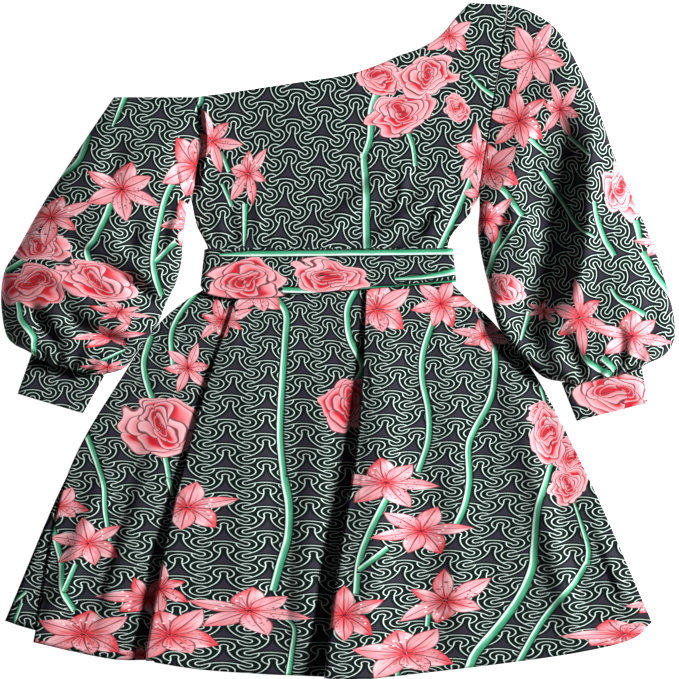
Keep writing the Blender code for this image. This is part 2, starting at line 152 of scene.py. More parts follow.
# %% Places beside a line
def along_line(xy, line):
    """Distance of plan points from a line of points, signed + on its left, and how far along it they lie.
    Past its ends the line goes on straight, so there the place along it is below 0 or above 1."""
    start, run = line[:-1], np.diff(line, axis=0)
    step = np.hypot(*run.T)
    before = np.concatenate([[0.0], np.cumsum(step)])
    best = np.full(xy.shape[:-1], np.inf)
    signed, along = np.zeros_like(best), np.zeros_like(best)
    for number, (a, d, size, base) in enumerate(zip(start, run, step, before)):
        unit = d / size
        offset = xy - a
        free = offset @ unit
        t = np.clip(free, 0, size)
        off = offset - t[..., None] * unit
        distance = np.hypot(off[..., 0], off[..., 1])
        closer = distance < best
        best = np.where(closer, distance, best)
        signed = np.where(closer, unit[0] * offset[..., 1] - unit[1] * offset[..., 0], signed)
        t = np.where((number == 0) & (free < 0) | (number == len(run) - 1) & (free > size), free, t)
        along = np.where(closer, (base + t) / before[-1], along)
    return signed, along


beside, part = along_line(np.array([[4.0, 3.0]]), np.array([[0.0, 0.0], [10.0, 0.0]]))
print("3 above a line of 10, and 4 along it:", beside, part)

# %% Creases
CREASE_STEPS = 5           # points of a crease's line from one given point to the next
BELL_REACH = 3             # past this many widths a crease's height is next to nothing
END_FADE = 4.0             # a crease fades in over a quarter of its length at each end


def creases(xy, rows):
    """Height of creases at plan points. Across a crease it is a bell, the exponential of minus the square
    of distance over width. Along it the heights follow each other at even steps and fade at both ends."""
    height = np.zeros(xy.shape[:-1])
    for points, width, heights in rows:
        line = cubic(chart(*np.array(points, float).T), CREASE_STEPS)
        reach = np.ptp(line, axis=0).max() + BELL_REACH * width
        near = np.abs(xy - line.mean(axis=0)).max(axis=-1) < reach
        distance, along = along_line(xy[near], line)
        fade = ease(along * END_FADE) * ease((1 - along) * END_FADE)
        size = np.interp(along, np.linspace(0, 1, len(heights)), heights)
        height[near] += size * fade * np.exp(-(distance / width) ** 2)
    return height


ridge = ([(0, 0), (50, 0), (100, 0)], 10, (5, 5))
on_and_beside = chart([50, 50], [0, 10 / SQUARE])
print("on a ridge of 5 mm, and its width beside it:", creases(on_and_beside, [ridge]).round(2))

# %% Unevenness
# Direction in radians and length in millimetres of each wave
WAVES = [(0.4, 110), (1.6, 71), (2.7, 53)]
WAVE_START = 7             # each wave's start is this many times its direction


def unevenness(xy, size, seed):
    """Slow, small rise and fall of hand-smoothed cloth, from 0 to its size: the mean of crossed sine
    waves."""
    waves = []
    for direction, length in WAVES:
        a = direction + seed
        waves.append(np.sin(2 * np.pi * (xy @ (np.cos(a), np.sin(a))) / length + WAVE_START * a))
    return size * (sum(waves) + len(WAVES)) / (2 * len(WAVES))


print("unevenness at the sheet's middle:", unevenness(np.zeros((1, 2)), 1.0, 0.0).round(2), "of its size")

# %% [markdown]
# ## From a grid to a piece of cloth
#
# A grid of points becomes a mesh of quads, and a Solidify modifier gives it the thickness of the cloth. A
# Solidify keeps the surface simple to edit, where two walls made by hand would have to be kept apart. A
# sleeve is a ring: its last column joins its first. Each point also keeps two places on the squared paper:
# where it lies, and where it was on the cloth when that lay flat, so that the print follows the cloth round
# a bend.

# %% Thickness and layers, in millimetres
WALL = 1.2                 # thickness of the cloth that is seen
SOLID_WALL = 1.5           # thickness of the plain solids, whose middle the cloth keeps to
GAP = 0.3                  # air between two of them
TABLE = SOLID_WALL / 2     # height of the middle of a wall that lies on the table
LAYER = SOLID_WALL + GAP   # from the middle of a layer to the middle of the next
SEAM = 0.1                 # how far two pieces that are sewn edge to edge stay apart
print("the second layer's middle lies", TABLE + LAYER, "millimetres above the table")


# %% Places on the flat cloth
def on_paper(plan):
    """Place on the squared paper of plan points in millimetres."""
    return plan / SQUARE * (1, -1) + SHEET_MIDDLE


def round_ring(grid, under):
    """Place on the flat cloth of a ring's points. Going round from the middle of the top wall, each step is
    longer on the cloth than in plan, and where the plan turns back it counts twice. What is gained moves
    the place outwards, in the direction from one side of the top wall to the other."""
    plan, middle = grid[..., :2], (under + grid.shape[1]) // 2
    out = plan[:, -2] - plan[:, under + 1]
    out /= np.hypot(out[:, 0], out[:, 1])[:, None]
    run = np.diff(plan, axis=1)
    length = np.linalg.norm(np.diff(grid, axis=1), axis=-1)
    gain = length - np.sign((run * out[:, None]).sum(axis=-1)) * np.hypot(run[..., 0], run[..., 1])
    gain = np.hstack([np.zeros((len(grid), 1)), np.cumsum(gain, axis=1)])
    gain -= gain[:, middle:middle + 1]
    return plan + out[:, None] * gain[..., None]


# %% Make a piece of cloth
cloth_pieces = {}


def cloth(name, grid, under=0, place=None):
    """A cloth piece from a grid of points in millimetres: one quad between each four neighbours, thickened
    to both sides by half of the wall. A grid with columns under a top wall is a ring."""
    rows, columns = grid.shape[:2]
    if under:
        grid = np.hstack([grid, grid[:, :1]])
        place = round_ring(grid, under)
    index = np.arange(rows * grid.shape[1]).reshape(rows, -1)
    corners = [index[:-1, :-1], index[1:, :-1], index[1:, 1:], index[:-1, 1:]]
    quads = np.stack(corners, axis=-1).reshape(-1, 4)
    faces = quads // grid.shape[1] * columns + quads % grid.shape[1] % columns
    mesh = bpy.data.meshes.new(name)
    mesh.from_pydata((grid[:, :columns].reshape(-1, 3) * MM).tolist(), [], faces.tolist())
    mesh.update()
    mesh.shade_smooth()
    piece = bpy.data.objects.new(name + "_cloth", mesh)
    bpy.context.scene.collection.objects.link(piece)
    thick = piece.modifiers.new("Cloth", 'SOLIDIFY')
    thick.thickness = WALL * MM
    thick.offset = 0.0
    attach(piece, "root")
    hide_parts(name)
    "belt_print" if name == "belt" else "wax_print"
    seen = on_paper(grid[..., :2].reshape(-1, 2))
    flat = on_paper((grid[..., :2] if place is None else place).reshape(-1, 2))
    cloth_pieces[name] = {"object": piece, "faces": faces, "column": quads[:, 0] % grid.shape[1],
                          "under": under, "seen": seen[quads], "flat": flat[quads]}
    print(name, len(faces), "quads")


# %% [markdown]
# ## The bodice
#
# Front and back bodice are cut alike. The neckline runs from the bare shoulder up to the other one. The
# waist is gathered a little on the left, and long soft drag lines run from the belt up to the right arm.
# The waist seam lies under the belt, so both panels climb over the belt's back strip.

# %% Sizes of the bodice
WAIST_Y = 97.0             # the waist's seam, above the sheet's middle
BELT_BAND = (46.0, 143.0)  # lower and upper edge of the belt's back strip, which lies under the panels
BELT_SLOPE = 26.0          # distance over which a panel climbs on to that strip
FRONT_SPREAD = 9.0         # the front panels start to climb this much further out
NECK_LEFT, NECK_RIGHT, SHOULDER = (-210, 352), (189, 489), (243, 486)
UNDERARM_LEFT, UNDERARM_RIGHT = (-215, 204), (202, 208)
WAIST_LEFT, WAIST_RIGHT = (-189, WAIST_Y), (161, WAIST_Y)
NECKLINE = [NECK_LEFT, (-144, 361), (-57, 374), (8, 384), (51, 397), (88, 413), (117, 423), (146, 441),
            (169, 468), NECK_RIGHT, NECK_RIGHT, SHOULDER]
ARMHOLE_LEFT = [NECK_LEFT, (-205, 322), (-202, 283), (-207, 244), UNDERARM_LEFT]
ARMHOLE_RIGHT = [SHOULDER, (237, 428), (227, 370), (218, 310), (210, 261), UNDERARM_RIGHT]
BODICE_SIDE_LEFT = [UNDERARM_LEFT, (-207, 167), (-198, 149), (-190, 130), WAIST_LEFT]
BODICE_SIDE_RIGHT = [UNDERARM_RIGHT, (189, 183), (173, 165), (160, 147), (157, 125), WAIST_RIGHT]
WAIST = [WAIST_LEFT, (-14, WAIST_Y), WAIST_RIGHT]
print("the waist is", WAIST_RIGHT[0] - WAIST_LEFT[0], "millimetres wide, laid flat")

# %% Rows of the bodice
BODICE_FRONT, BODICE_BACK = (120, 130), (60, 60)         # rows and columns of a panel
BODICE_CROWD = 1.6         # the power that crowds the rows towards the waist


def bodice_down(rows):
    """Places down the bodice, closer together at the waist: 1 minus a power of what is left."""
    return 1 - np.linspace(1, 0, rows) ** BODICE_CROWD


print("the waist's last row is", round(1 - bodice_down(BODICE_FRONT[0])[-2], 5), "of the bodice high")

# %% Creases of the bodice
# Points of the line on the squared paper, width, and heights along it in millimetres
BODICE_CREASES = [
    ([(226, 247), (221, 228), (216, 200)], 7, (3.4, 2.4, 0.6)),
    ([(234, 248), (230, 226), (228, 206)], 5, (-2.5, -2.0, -0.5)),
    ([(242, 248), (240, 222), (238, 196)], 6, (3.6, 2.8, 0.8)),
    ([(249, 248), (249, 226), (247, 200)], 4, (-3.0, -2.4, -0.6)),
    ([(257, 247), (259, 222), (259, 190)], 7, (3.4, 2.4, 0.6)),
    ([(272, 247), (273, 230), (276, 214)], 6, (2.2, 1.4, 0.4)),
    ([(210, 246), (207, 234), (205, 222)], 6, (2.2, 1.4, 0.4)),
    ([(300, 247), (318, 226), (345, 208)], 8, (2.2, 2.0, 1.0)),
    ([(318, 243), (352, 205), (404, 172)], 12, (3.0, 9.0, 7.5)),
    ([(330, 250), (368, 214), (420, 178)], 8, (-2.4, -8.0, -6.0)),
    ([(353, 262), (398, 222), (449, 178)], 11, (3.4, 10.0, 8.0)),
    ([(372, 258), (412, 226), (452, 194)], 7, (-2.4, -8.0, -6.0)),
    ([(388, 262), (425, 238), (460, 210)], 9, (3.6, 9.0, 6.5)),
    ([(416, 247), (432, 238), (445, 226)], 6, (2.2, 1.8, 1.2)),
    ([(360, 184), (380, 178), (408, 168)], 7, (2.4, 4.5, 3.0)),
    ([(392, 216), (402, 190), (409, 160)], 8, (3.0, 9.0, 5.0)),
    ([(424, 238), (438, 208), (447, 184)], 8, (3.0, 8.0, 4.0)),
    ([(470, 118), (455, 150), (436, 176)], 12, (1.6, 2.2, 1.4)),
    ([(262, 112), (330, 118), (400, 112)], 60, (2.0, 3.0, 2.6)),
    ([(203, 90), (206, 120), (208, 145), (204, 172), (199, 204)], 4.5, (8.0, 9.0, 9.0, 8.0)),
    ([(222, 104), (232, 128), (236, 158)], 9, (1.2, 1.2, 0.8)),
]
BODICE_UNEVEN = (0.8, 0.3)             # height of the unevenness, and the turn of its waves
HELD_LEFT, HELD_RIGHT, HELD_TOP = 50, 12, 12             # creases fade in over one part in so many
print("creases of the bodice:", len(BODICE_CREASES))


# %% Climb over the belt
def over_belt(y, spread=0.0):
    """Rise of a panel over the belt's back strip: a smooth step up at each edge of the strip, times the
    layer."""
    low, high = BELT_BAND[0] - spread, BELT_BAND[1] + spread
    return LAYER * ease((y - low + BELT_SLOPE) / BELT_SLOPE) * ease((high + BELT_SLOPE - y) / BELT_SLOPE)


print("a panel rises", round(float(over_belt(WAIST_Y)), 2), "millimetres at the waist")


# %% Make the bodice
def make_bodice():
    """The front lies a layer above the back: its height is table, layer, climb over the belt and
    creases."""
    left, right = ARMHOLE_LEFT + BODICE_SIDE_LEFT, ARMHOLE_RIGHT + BODICE_SIDE_RIGHT
    rows, columns = BODICE_FRONT
    down, across = bodice_down(rows), np.linspace(0, 1, columns)
    plan = patch(NECKLINE, WAIST, left, right, across, down)
    held = ease(across * HELD_LEFT) * ease((1 - across) * HELD_RIGHT) * ease(down * HELD_TOP)[:, None]
    soft = held * np.maximum(creases(plan, BODICE_CREASES) + unevenness(plan, *BODICE_UNEVEN), 0)
    cloth("bodice_front", raised(plan, TABLE + LAYER + over_belt(plan[..., 1], FRONT_SPREAD) + soft))
    rows, columns = BODICE_BACK
    plan = patch(NECKLINE, WAIST, left, right, np.linspace(0, 1, columns), bodice_down(rows))
    cloth("bodice_back", raised(plan, TABLE + over_belt(plan[..., 1])))


make_bodice()

# %% [markdown]
# ## The skirt
#
# The front skirt is one panel with two unpressed folds that open towards the hem. Across a fold the cloth
# makes an S: it runs under the edge, turns back, and turns again at the edge into the upper layer, which
# comes down to the back panel further on. The S is drawn with half circles and carried down the fold's own
# line. The back skirt is flat, and a narrow strip of it shows past the front at the left.

# %% Edges of the skirt
SKIRT_LEFT = [(-186, 96), (-189, 86), (-194, 76), (-205, 68), (-222, 58), (-263, 22), (-308, -42)]
SKIRT_RIGHT = [(160, 96), (162, 86), (167, 78), (189, 57), (228, 20), (286, -54), (366, -210), (453, -409)]
FRONT_LEFT = SKIRT_LEFT + [(-397, -203), (-444, -438)]
BACK_LEFT = SKIRT_LEFT + [(-398, -203), (-485, -407)]
BACK_RIGHT = SKIRT_RIGHT[:-1] + [(449, -400)]
FRONT_HEM_LEFT = [(-444, -438), (-384, -452), (-326, -463), (-279, -464)]
FRONT_HEM_MIDDLE = [(-279, -464), (-202, -477), (-115, -484), (-22, -488)]
FRONT_HEM_RIGHT = [(-22, -488), (44, -490), (196, -474), (334, -455), (421, -435), (453, -409)]
BACK_HEM = [(-485, -407), (-444, -420), (-326, -447), (-173, -463), (-14, -472), (196, -460), (334, -441),
            (421, -421), (449, -400)]
print("the front skirt's hem is", FRONT_HEM_RIGHT[-1][0] - FRONT_HEM_LEFT[0][0], "millimetres wide")

# %% Folds of the skirt
FOLD_A = [(-144, 96), (-156, 41), (-183, -38), (-210, -129), (-244, -261), (-276, -432), (-279, -464)]
FOLD_B = [(40, 96), (33, -61), (24, -162), (9, -255), (-5, -347), (-22, -488)]
# Place down a fold, width of cloth tucked under its edge, and step from one of its layers to the next
FOLD_A_ROWS = [(0.0, 14.0, 2.3), (0.15, 14.0, 2.6), (0.5, 13.0, 5.0), (0.75, 13.0, 8.0), (1.0, 12.0, 8.0)]
FOLD_B_ROWS = [(0.0, 14.0, 2.3), (0.12, 14.0, 2.8), (0.3, 13.0, 6.5), (0.7, 13.0, 10.5), (1.0, 13.0, 12.5)]
FOLD_FALL = 150.0          # distance from a fold over which its upper layer comes down
FOLD_CLEAR = 2.5           # distance from a fold's turns to the first plain column of its upper layer
BELT_GRIP = (6.0, 60.0)    # the skirt's creases start this far under the belt's band, over this length
print("cloth tucked under a fold's edge:", FOLD_A_ROWS[0][1], "millimetres at the waist")

# %% Creases of the skirt
# Points of the line on the squared paper, width, and heights along it in millimetres
SKIRT_CREASES = [
    ([(196, 326), (170, 400), (146, 480), (98, 648)], 30, (1, 4, 8, 10)),
    ([(150, 420), (118, 520), (92, 600), (76, 660)], 14, (-1, -6, -9, -8)),
    ([(118, 440), (74, 560), (42, 640)], 15, (2, 8, 9)),
    ([(264, 312), (250, 480), (237, 670)], 30, (1, 5, 8)),
    ([(290, 330), (287, 450), (280, 560), (278, 676)], 16, (-1, -3, -6, -5)),
    ([(318, 340), (318, 450), (306, 560), (300, 676)], 20, (1, 4, 7, 7)),
    ([(340, 400), (341, 470), (334, 560), (320, 676)], 13, (-2, -9, -12, -10)),
    ([(386, 308), (384, 420), (376, 560), (368, 676)], 22, (2, 5, 9, 11)),
    ([(410, 330), (414, 450), (416, 560), (418, 676)], 13, (-1, -3, -5, -6)),
    ([(446, 312), (452, 430), (456, 560), (462, 676)], 24, (2, 5, 7, 9)),
    ([(478, 330), (492, 440), (500, 560), (510, 676)], 14, (-1, -4, -7, -8)),
    ([(496, 340), (528, 440), (556, 560), (580, 660)], 20, (3, 7, 13, 13)),
    ([(536, 400), (562, 480), (590, 560), (610, 640)], 26, (-2, -7, -10, -8)),
    ([(560, 450), (582, 500), (610, 560), (636, 616)], 16, (1, 5, 9, 10)),
    ([(210, 312), (204, 350), (196, 400)], 7, (-2, -3, -1)),
    ([(178, 312), (168, 350), (158, 400)], 8, (2.4, 1.6, 0.4)),
    ([(236, 302), (236, 332), (233, 366)], 6, (2.4, 1.6, 0.4)),
    ([(254, 302), (255, 330), (252, 366)], 6, (-2, -2, -0.5)),
    ([(284, 302), (288, 330), (290, 372)], 7, (2.2, 1.6, 0.6)),
    ([(312, 302), (314, 324), (314, 350)], 6, (1.8, 1.2, 0.4)),
    ([(340, 302), (343, 330), (346, 368)], 7, (2.0, 1.6, 0.4)),
    ([(400, 302), (404, 334), (410, 380)], 7, (-2, -2.4, -1)),
    ([(428, 302), (438, 334), (448, 372)], 7, (2.2, 1.8, 0.6)),
    ([(456, 304), (474, 334), (492, 372)], 8, (2.4, 2.0, 0.8)),
    ([(470, 308), (496, 340), (520, 380)], 7, (-2, -3, -1)),
]
SIDE_FLAT = 14.0           # creases fade out over a fourteenth of a stretch beside its side seam
SKIRT_UNEVEN = (1.2, 1.1)  # height of the unevenness, and the turn of its waves
print("creases of the skirt:", len(SKIRT_CREASES))

# %% Rows of the skirt
SKIRT_FRONT_ROWS, STRETCH_COLUMNS = 150, (46, 66, 116)
SKIRT_BACK = (80, 110)     # rows and columns
SKIRT_CROWD = 1.45         # the power that crowds the rows towards the waist


def skirt_down(rows):
    """Places down the skirt, closer together at the waist: a power of an even count."""
    return np.linspace(0, 1, rows) ** SKIRT_CROWD


def below_belt(y):
    """0 where the belt holds the skirt down, 1 where the skirt is free."""
    return ease((BELT_BAND[0] + BELT_GRIP[0] - y) / BELT_GRIP[1])


def rightward(line):
    """Unit vectors at right angles to a line that runs down, pointing to its right."""
    run = np.gradient(line, axis=0)
    run /= np.hypot(run[:, 0], run[:, 1])[:, None]
    return np.stack([-run[:, 1], run[:, 0]], axis=-1)


print("the skirt's last row is", round(1 - skirt_down(SKIRT_FRONT_ROWS)[-2], 4), "of its length high")

# %% A fold
TURN_POINTS = 9            # columns round each half circle


def folded(line, rows, down, low):
    """One fold as columns of 3-D points and of places on the cloth. Across the edge, distance and height
    follow two half circles of radius r = step / 2; the place on the cloth is the length of that S."""
    place, tucks, steps = np.array(rows).T
    tuck, step = np.interp(down, place, tucks)[:, None], np.interp(down, place, steps)[:, None]
    r, low = step / 2, low[:, None]
    turn = np.linspace(-np.pi / 2, np.pi / 2, TURN_POINTS)
    across = np.hstack([0.5 * (tuck - r), tuck - r + r * np.cos(turn),
                        r - r * np.cos(turn), 0.5 * tuck + r])
    height = np.hstack([low, low + r + r * np.sin(turn), low + step + r + r * np.sin(turn), low + 2 * step])
    run = np.hypot(np.diff(across), np.diff(height))
    cloth_place = np.cumsum(np.hstack([0 * r, run]), axis=1)
    cloth_place += across[:, -1:] - cloth_place[:, -1:]
    side = rightward(line)[:, None]
    grid = np.concatenate([line[:, None] + side * across[..., None], height[..., None]], axis=-1)
    return grid, line[:, None] + side * cloth_place[..., None]


# %% Make the front skirt
def skirt_stretches(down):
    """The plans of the three stretches: each lies between two lines that run down the skirt."""
    lines = [FRONT_LEFT, FOLD_A, FOLD_B, SKIRT_RIGHT]
    hems = [FRONT_HEM_LEFT, FRONT_HEM_MIDDLE, FRONT_HEM_RIGHT]
    return [patch([left[0], right[0]], hem, left, right, np.linspace(0, 1, columns), down)
            for left, right, hem, columns in zip(lines, lines[1:], hems, STRETCH_COLUMNS)]


def make_skirt_front():
    """Three stretches of one panel, joined by the columns of its two folds. Their height is the layer they
    lie on, the fold's upper layer coming down, and the creases. Gives the number of each column's
    stretch."""
    down = skirt_down(SKIRT_FRONT_ROWS)
    grid, place, stretch = [], [], []
    for number, plan in enumerate(skirt_stretches(down)):
        floor = TABLE + LAYER + over_belt(plan[..., 1], FRONT_SPREAD)
        top = np.zeros(len(down))
        if number:
            rows, line = ((FOLD_A_ROWS, FOLD_A), (FOLD_B_ROWS, FOLD_B))[number - 1]
            line = smooth(line, down)
            places, tucks, steps = np.array(rows).T
            top = 2 * np.interp(down, places, steps)
            fold, fold_place = folded(line, rows, down, floor[:, 0])
            grid.append(fold)
            place.append(fold_place)
            stretch.append(np.full(fold.shape[1], number))
            clear = (np.interp(down, places, tucks + steps) / 2 + FOLD_CLEAR) / row_width(plan)
            plan = pick(plan, clear[:, None] + (1 - clear[:, None]) * np.linspace(0, 1, plan.shape[1]))
            floor = TABLE + LAYER + over_belt(plan[..., 1], FRONT_SPREAD)
        away = np.hypot(*(plan - (line[:, None] if number else plan[:, :1])).transpose(2, 0, 1))
        from_left = np.linspace(0, 1, plan.shape[1])
        edge = (ease(from_left * SIDE_FLAT) * ease((1 - from_left) * SIDE_FLAT), 1.0,
                ease((1 - from_left) * SIDE_FLAT))[number]
        soft = np.maximum(creases(plan, SKIRT_CREASES) + unevenness(plan, *SKIRT_UNEVEN), 0)
        rise = top[:, None] * (1 - ease(away / FOLD_FALL)) + soft * below_belt(plan[..., 1]) * edge
        grid.append(raised(plan, floor + rise))
        place.append(plan)
        stretch.append(np.full(plan.shape[1], number))
    cloth("skirt_front", np.concatenate(grid, axis=1), place=np.concatenate(place, axis=1))
    return np.concatenate(stretch)


skirt_stretch = make_skirt_front()


# %% Make the back skirt
def make_skirt_back():
    """Flat on the table but for its climb over the belt."""
    rows, columns = SKIRT_BACK
    ends = [BACK_LEFT[0], BACK_RIGHT[0]]
    plan = patch(ends, BACK_HEM, BACK_LEFT, BACK_RIGHT, np.linspace(0, 1, columns), skirt_down(rows))
    cloth("skirt_back", raised(plan, TABLE + over_belt(plan[..., 1])))


make_skirt_back()

# %% [markdown]
# ## Sleeves and cuffs
#
# A balloon sleeve laid flat is a squashed tube: one wall rests on the table and the other domes over it,
# full of air, with deep valleys where the cloth has sunk in. Rings of points run round the tube and follow
# each other from the armhole to the cuff. Near the cuff the puff hangs over its gathered seam. A cloth
# simulation would blow the tube up evenly, so the dome comes from a table of rings and the creases are
# placed one by one.

# %% A flattened tube
ARC = 0.29                 # what is left of a radius at 45 degrees round an arc
EDGE_STEPS = (0.0, 0.1, ARC, 0.6)      # places of the first columns inside the widest line, in insets


def rounding(where, width, reach):
    """0 at both edges of a row and 1 inside, along a quarter circle over the distance `reach`."""
    away = np.minimum(where, 1 - where) * width
    return np.sqrt(1 - (1 - np.clip(away / reach, 0, 1)) ** 2)


def tube(plan, low_plan, below, above, inset, side, height):
    """Rings round a flattened tube: along the table from right to left, up round the left side, over the
    top and down again. The wall on the table stops `inset` short of the widest line, which is `side`
    high."""
    width = row_width(plan)
    i = (np.broadcast_to(inset, width.shape) / width)[:, None]
    side = np.broadcast_to(side, width.shape)[:, None]
    inner = i + (1 - 2 * i) * np.linspace(0, 1, above)
    first, last = [step * i for step in EDGE_STEPS], [1 - step * i for step in reversed(EDGE_STEPS)]
    over = np.hstack([*first, inner, *last])
    bottom = 1 - i - (1 - 2 * i) * np.linspace(0, 1, below)
    bend = TABLE + (side - TABLE) * ARC
    bends = [(pick(low_plan, x) + pick(plan, x)) / 2 for x in (ARC * i, 1 - ARC * i)]
    rings = [raised(pick(low_plan, bottom), TABLE), raised(bends[0], bend),
             raised(pick(plan, over), height(over)), raised(bends[1], bend)]
    return np.concatenate(rings, axis=1)


print("what is left of a radius at 45 degrees:", round(1 - np.cos(np.radians(45)), 2))


# %% More rows of a table
def fine_rows(table, count):
    """A table of rings with more rows, read at even steps along straight runs between the given rows, and
    then smoothed once by averaging each row with its neighbours."""
    table = np.array(table, float)
    even = np.linspace(0, len(table) - 1, count)
    rows = np.stack([np.interp(even, np.arange(len(table)), column) for column in table.T], axis=-1)
    rows[1:-1] = (rows[:-2] + 2 * rows[1:-1] + rows[2:]) / 4
    return rows.T


print("a step from 0 to 4 with more rows:", fine_rows([(0,), (4,)], 5).round(1))

# %% Edges of the sleeves
OFF_OUTER = [(-326, 352), (-360, 302), (-402, 238), (-431, 193), (-466, 130), (-484, 99), (-489, 58),
             (-483, 12), (-470, -6), (-444.8, -17.4)]
OFF_INNER = [(-218, 202), (-223, 181), (-227, 145), (-229, 116), (-237, 83), (-252, 52), (-264, 23),
             (-291, -14), (-308, -37), (-322, -45), (-339.6, -48.9)]
SHOULDER_OUTER = [(244, 486), (276, 476), (312, 452), (337, 413), (373, 338), (398, 265), (434, 184),
                  (459, 123), (478, 59), (485, 23), (483, -2), (468, -23), (436.9, -36.7)]
SHOULDER_INNER = [(204, 206), (203, 182), (201, 157), (206, 123), (217, 74), (230, 22), (250, -10),
                  (268, -29), (288, -48), (302, -56), (322.2, -59.8)]
UNDERARM_TURN = 6.0        # above the underarm by this much, a sleeve's edge leaves the bodice's
CUFF_OFF = [(-445.2, -18.6), (-340.0, -50.1), (-372, -106), (-466, -78)]
CUFF_SHOULDER = [(322, -61.5), (437.4, -38.5), (447, -91), (344, -117)]
for title, outer, inner in (("off the shoulder", OFF_OUTER, OFF_INNER),
                            ("on the shoulder", SHOULDER_OUTER, SHOULDER_INNER)):
    wide = np.hypot(*np.subtract(outer[-1], inner[-1]))
    print("the sleeve", title, "ends", round(wide), "millimetres wide")

# %% Rings of a sleeve
# Place of a ring's top wall, how far the puff hangs past the cuff's seam, place of its wall on the table,
# height of the top wall, height of the widest line, and width over which the top wall rounds up from it
SLEEVE_ROWS = [
    (0.00, 0.0, 0.00, 3.6, 2.1, 2.6),
    (0.05, 0.0, 0.05, 6.0, 3.0, 9.0),
    (0.12, 0.0, 0.12, 11.0, 4.5, 24.0),
    (0.22, 0.0, 0.22, 20.0, 7.0, 50.0),
    (0.33, 0.0, 0.33, 27.0, 9.0, 74.0),
    (0.45, 0.0, 0.44, 32.0, 11.0, 88.0),
    (0.57, 0.0, 0.55, 36.0, 12.5, 95.0),
    (0.69, 0.0, 0.66, 39.0, 13.5, 95.0),
    (0.80, 0.0, 0.76, 40.0, 14.0, 88.0),
    (0.89, 0.0, 0.85, 37.0, 13.5, 66.0),
    (0.96, 2.0, 0.91, 32.0, 13.0, 44.0),
    (1.00, 5.5, 0.95, 25.0, 12.5, 26.0),
    (1.00, 7.0, 0.97, 18.5, 11.5, 16.0),
    (1.00, 5.5, 0.98, 14.4, 10.0, 10.0),
    (1.00, -0.6, 0.99, 12.4, 8.0, 8.0),
    (1.00, -0.6, 1.00, 8.9, 5.5, 7.0),
]
SLEEVE_RINGS, SLEEVE_COLUMNS = 150, 161
SLEEVE_BELOW, SLEEVE_ABOVE = 44, 110   # points of a ring on the table and over the top
SLEEVE_INSET = 0.95        # how far the wall on the table stops short of the widest line, in its heights
SLEEVE_SIDE = 2.8          # the inset never comes from a lower height of the widest line than this
HANG_SIDE = 24.0           # distance from a sleeve's edges over which its puff comes to hang over the cuff
SEAM_TOP = 15.0            # rings lower than this at the cuff are held by its seam
print("the sleeves are", max(row[3] for row in SLEEVE_ROWS), "millimetres high before they crease")

# %% Gathers and creases of the sleeves
GATHERS = 6                # waves across a sleeve
GATHER_DEPTH = 2.4         # millimetres
GATHER_START = 0.76        # place down the sleeve
ARMHOLE_HELD = 8.0         # creases start over an eighth of the sleeve from the armhole
LOWEST = 4.0               # no crease of a top wall sinks lower than this
LEAST_ROOM = 0.5           # so that nothing is divided by a room of zero
SLEEVE_UNEVEN = 2.0        # height of the unevenness
OFF_TURN, SHOULDER_TURN = 0.7, 1.9     # turns of its waves
OFF_CREASES = [
    ([(52, 230), (100, 262), (140, 290), (168, 322)], 8, (-4, -8, -13, -9)),
    ([(118, 270), (142, 286), (168, 308)], 9, (-4, -10, -8)),
    ([(60, 310), (86, 328), (112, 340), (146, 352)], 12, (-8, -14, -15, -11)),
    ([(26, 300), (44, 326), (60, 350)], 12, (-7, -13, -12)),
    ([(62, 300), (72, 318), (88, 344)], 8, (-2, -4, -3)),
    ([(176, 196), (166, 224), (158, 262)], 11, (-7, -10, -7)),
    ([(124, 128), (116, 160), (104, 190)], 16, (-4, -7, -5)),
    ([(140, 214), (132, 240), (128, 262)], 12, (-4, -8, -6)),
    ([(186, 126), (184, 156), (180, 192)], 9, (-4, -7, -6)),
    ([(40, 268), (74, 290), (96, 312)], 10, (3, 5, 3)),
    ([(96, 228), (130, 258), (160, 290)], 10, (3, 6, 3)),
]
SHOULDER_CREASES = [
    ([(556, 80), (558, 120), (556, 158), (553, 196), (550, 232), (543, 266), (533, 300), (521, 338),
      (508, 368)], 26, (-12, -24, -34, -38, -40, -40, -37, -32, -22)),
    ([(546, 108), (546, 140), (540, 176), (536, 206), (538, 236)], 15, (-4, -12, -16, -12, -5)),
    ([(596, 92), (594, 140), (588, 190), (585, 240), (577, 290), (562, 340)], 14, (3, 8, 12, 12, 11, 7)),
    ([(524, 176), (512, 208), (508, 250)], 9, (3, 8, 5)),
    ([(536, 252), (532, 282), (522, 310)], 11, (-3, -6, -5)),
    ([(563, 118), (548, 150), (530, 182), (510, 208), (488, 238)], 17, (-8, -14, -15, -15, -11)),
    ([(498, 290), (514, 330), (548, 378)], 26, (-14, -22, -18)),
    ([(560, 320), (566, 346), (584, 376)], 13, (-5, -9, -10)),
    ([(612, 318), (620, 340), (616, 368)], 9, (-2, -6, -7)),
    ([(640, 262), (652, 300), (646, 350)], 11, (-3, -6, -7)),
    ([(532, 214), (530, 250), (520, 290)], 13, (5, 9, 6)),
    ([(628, 176), (640, 230), (640, 280)], 12, (-4, -7, -5)),
]
print("creases of the sleeves:", len(OFF_CREASES), "and", len(SHOULDER_CREASES))

# %% The seam of an armhole
SEAM_POINTS = 15           # down the bodice's whole edge, of which the armhole's are used


def seam(armhole, side, start, end):
    """The edge of a sleeve along an armhole: the bodice's own edge points moved out by the seam's gap."""
    edge = smooth(armhole + side, bodice_down(SEAM_POINTS))
    edge = edge[edge[:, 1] > armhole[-1][1] + UNDERARM_TURN]
    out = -1 if armhole[0][0] < 0 else 1
    return [start] + [(x + out * SEAM, y) for x, y in edge[1:]] + [end]


